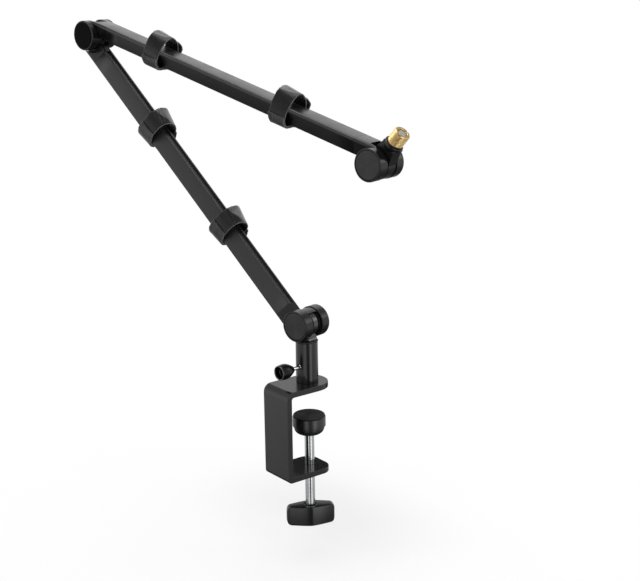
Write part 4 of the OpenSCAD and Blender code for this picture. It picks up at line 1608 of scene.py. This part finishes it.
@dataclass(frozen=True)
class LoopShape:
    """The shape that both straps of an arm share.

    Args:
        plus: The loop's outer line at the edge with the larger x, from its far side on.
        minus: The same at the other edge.
        lap_deg: First and last angle of the outer lap, from the far side.
        bump: How far the lap stands off, its angle and its spread in degrees.
        painted_highlight_deg: Where the painted highlight on the loop's top starts at the minus edge and at
            the plus edge, and
        where it ends.
        skew: How far the lap drifts along the arm at its bump.
        painted_highlight_gain: How light the painted highlight is, against the outer lap.
        painted_highlight_rise: Angle over which its border rises.
        painted_highlight_fall: Angle over which it fades at its end.
    """

    plus: Rim
    minus: Rim
    lap_deg: tuple[float, float]
    bump: tuple[float, float, float]
    painted_highlight_deg: tuple[float, float, float]
    skew: float
    painted_highlight_gain: float = 2.6
    painted_highlight_rise: float = 5.0
    painted_highlight_fall: float = 25.0

    def painted_highlight(self, deg: Array, share: Array) -> Array:
        """How light the painted highlight is; its border curves from one edge to the other as a parabola.

        Args:
            deg: Angles of the cross lines.
            share: Places across the tape, 0 at its minus edge and 1 at its plus edge.

        Returns:
            One row per angle, one column per place.
        """
        minus, plus, end = self.painted_highlight_deg
        curve = share**2 if end < minus else 1 - (1 - share) ** 2
        start = minus + (plus - minus) * curve
        way = math.copysign(1.0, end - minus)
        rise = way * (deg[:, None] - start[None, :]) / self.painted_highlight_rise + 0.5
        fall = way * (end - deg[:, None]) / self.painted_highlight_fall
        return self.painted_highlight_gain * np.clip(np.minimum(rise, fall), 0, 1)


@dataclass(frozen=True)
class Strap:
    """One hook-and-loop strap: a loose loop of tape, and an outer lap that stands off on the far side.

    Args:
        name: Object name.
        node: The CAD node that it replaces.
        place: Name of the arm's local frame.
        body: The body that it rides on.
        at: Distance along the arm.
        shape: The shape of its loop and lap.
        seed: Varies the tape's small waves.
        width: Width of the tape.
        thick: Its thickness.
        edge: Length of its rounded edges across the tape.
        lap_gap: Gap between the loop and the lap.
    """

    name: str
    node: str
    place: str
    body: Body
    at: float
    shape: LoopShape
    seed: float
    width: float = 20.0
    thick: float = 1.4
    edge: float = 0.5
    lap_gap: float = 0.05

    def section(self) -> Array:
        """The tape's closed cross section: two flat sides and two half ellipses.

        Returns:
            Rows of (distance across, height).
        """
        flat, ht, e = self.width / 2 - self.edge, self.thick / 2, self.edge
        t = np.linspace(0, math.pi / 2, 4)
        x, z = flat + e * np.sin(t), ht * np.cos(t)
        side = np.linspace(-flat, flat, 15)
        return np.vstack([
            np.column_stack([side, np.full(15, ht)]), np.column_stack([x[1:], z[1:]]),
            np.column_stack([x[-2::-1], -z[-2::-1]]), np.column_stack([side[-2::-1], np.full(14, -ht)]),
            np.column_stack([-x[1:], -z[1:]]), np.column_stack([-x[-2:0:-1], z[-2:0:-1]])])

    def band(self, deg: Array, lift: Array, drift: Array, lap: bool) -> tuple[Array, list, Array]:
        """Sweeps the tape's section along part of the loop.

        Each point lies between the two rims in a straight line, and its height stands square to the mean of
        the rims. Two sines of the length along the tape curl its edges and shift it a little.

        Args:
            deg: Angles of the cross lines.
            lift: Height of the tape's middle above the loop's outer line.
            drift: Shift of each cross line along the arm.
            lap: The outer lap, open at its ends, not the closed loop.

        Returns:
            The points, the faces and the values of the attribute "tape".
        """
        minus, plus = (closed_curve(rim, deg) for rim in (self.shape.minus, self.shape.plus))
        line = (minus + plus) / 2
        tan = np.gradient(line, axis=0) if lap else np.roll(line, -1, 0) - np.roll(line, 1, 0)
        tan /= np.linalg.norm(tan, axis=1)[:, None]
        nor = np.column_stack([tan[:, 1], -tan[:, 0]])
        run = np.concatenate([[0], np.cumsum(np.linalg.norm(np.diff(line, axis=0), axis=1))])
        turns = 2 * math.pi * np.round(run[-1] * np.array([0.09, 0.2])) / run[-1]
        wave = 0.10 * np.sin(run * turns[0] + self.seed) + 0.06 * np.sin(run * turns[1] + 2.1 * self.seed)
        section = self.section()
        m, n = len(section), len(deg)
        across, height = section[:, 0], section[:, 1]
        share = across / self.width + 0.5
        curl = (2 * across / self.width)[None, :] ** 3 * wave[:, None]
        yz = minus[:, None] * (1 - share)[:, None] + plus[:, None] * share[:, None]
        yz = yz + nor[:, None, :] * (height[None, :] + lift[:, None] + curl)[..., None]
        wide = across[None, :] + (drift + 0.8 * wave)[:, None] + self.at
        points = np.concatenate([wide[..., None], yz], axis=-1).reshape(-1, 3)
        # On the loop's upper face the layer carries the painted highlight on its top.
        layer = np.ones((n, m)) if lap else self.shape.painted_highlight(deg, share) * (height > 0)
        layer = np.where(np.abs(across) > self.width / 2 - 0.3, 2.0, layer)
        along = run[:, None] + (90 if lap else 0)
        side = np.broadcast_to(across + 40 * self.seed, (n, m))
        tape = np.stack([side, np.repeat(along, m, 1), layer], axis=-1)
        return points, grid_faces(n, m, closed=not lap, capped=lap), tape.reshape(-1, 3)

    def build(self, materials: Materials) -> None:
        """Sweeps the loop and its outer lap.

        The lap stands off by a bell curve of the angle. It drifts along the arm in a straight line up to the
        bump and back.

        Args:
            materials: The finished materials, by name.
        """
        deg = np.linspace(0, 360, 200, endpoint=False)
        loop = self.band(deg, np.full(200, -self.thick / 2), np.zeros(200), False)
        deg = np.linspace(*self.shape.lap_deg, 150)
        high, at, spread = self.shape.bump
        lift = self.lap_gap + self.thick / 2 + high * np.exp(-(((deg - at) / spread) ** 2))
        drift = self.shape.skew * np.clip(1 - np.abs(deg - at) / (2.6 * spread), 0, 1)
        lap = self.band(deg, lift, drift, True)
        faces = loop[1] + [[i + len(loop[0]) for i in face] for face in lap[1]]
        mesh = new_mesh(self.name, PLACES[self.place].metres(np.vstack([loop[0], lap[0]])), faces)
        tape = mesh.attributes.new("tape", "FLOAT_VECTOR", "POINT")
        tape.data.foreach_set("vector", np.vstack([loop[2], lap[2]]).ravel())
        cleaned(mesh, 50, merge=False)
        Piece(self.name, self.body, "strap_webbing", self.node).place(mesh, materials)


LOW = LoopShape(
    plus=(
        (18.4, 5.4), (15.9, 15.9), (9.2, 23.5), (0.0, 26.3), (-8.9, 23.5), (-15.4, 15.9),
        (-17.8, 5.4), (-16.0, -5.0), (-9.9, -12.7), (-1.2, -15.5), (8.2, -12.7), (15.3, -5.0)),
    minus=(
        (16.8, 5.4), (14.5, 15.0), (8.6, 22.0), (0.0, 24.3), (-8.0, 21.6), (-13.4, 15.4),
        (-16.7, 5.4), (-15.5, -4.2), (-10.8, -10.9), (-2.8, -12.4), (6.3, -9.0), (13.4, -2.8)),
    lap_deg=(0.0, 188.0), bump=(5.0, 34.0, 20.0), painted_highlight_deg=(300.0, 245.0, 350.0), skew=-3.5)
UP = LoopShape(
    plus=(
        (16.2, 14.5), (14.4, 22.2), (10.0, 27.6), (3.6, 30.2), (-3.6, 26.7), (-9.6, 18.8),
        (-13.4, 10.0), (-13.2, 2.8), (-8.8, -2.45), (0.0, -2.45), (8.8, -2.45), (14.2, 4.5)),
    minus=(
        (16.0, 15.0), (15.0, 24.0), (9.5, 30.5), (1.5, 33.0), (-6.4, 30.6), (-12.5, 21.8),
        (-15.4, 11.0), (-14.1, 2.9), (-8.8, -2.45), (0.0, -2.45), (8.8, -2.45), (14.2, 4.5)),
    lap_deg=(189.0, 395.0), bump=(3.2, 368.0, 19.0), painted_highlight_deg=(118.0, 92.0, 10.0), skew=1.5)
STRAPS: tuple[Strap, ...] = (
    Strap("tape_1", "strap_1", "lower", Body.LOWER, 272, LOW, 0.3),
    Strap("tape_2", "strap_2", "lower", Body.LOWER, 134, LOW, 1.7),
    Strap("tape_3", "strap_3", "upper", Body.UPPER, 103, UP, 2.9),
    Strap("tape_4", "strap_4", "upper", Body.UPPER, 286, UP, 4.2),
)


# Scene


def main() -> None:
    """Builds the camera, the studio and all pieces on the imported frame."""
    logging.basicConfig(level=logging.INFO, format="%(name)s: %(message)s")
    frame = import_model()
    CameraFit().build()
    Studio().build()
    materials = {finish.name: finish.build() for finish in FINISHES}
    for casting in CASTINGS:
        casting.build(frame["nodes"], materials)
    dress_inner(frame["nodes"], materials)
    HingeCap().build(materials)
    # The tubes take the lighter and darker copies of their one coating, painted light and shade.
    ArmTube("tube_lower", "lower_tube", "lower", Body.LOWER, "arm_coating_lower_painted_lighter").build(materials)
    ArmTube("tube_upper", "upper_tube", "upper", Body.UPPER, "arm_coating_upper_painted_darker").build(materials)
    for part in (ClampScrew(), ThumbScrew(), TipThread(), *STRAPS):
        part.build(materials)


if __name__ == "__main__":
    main()
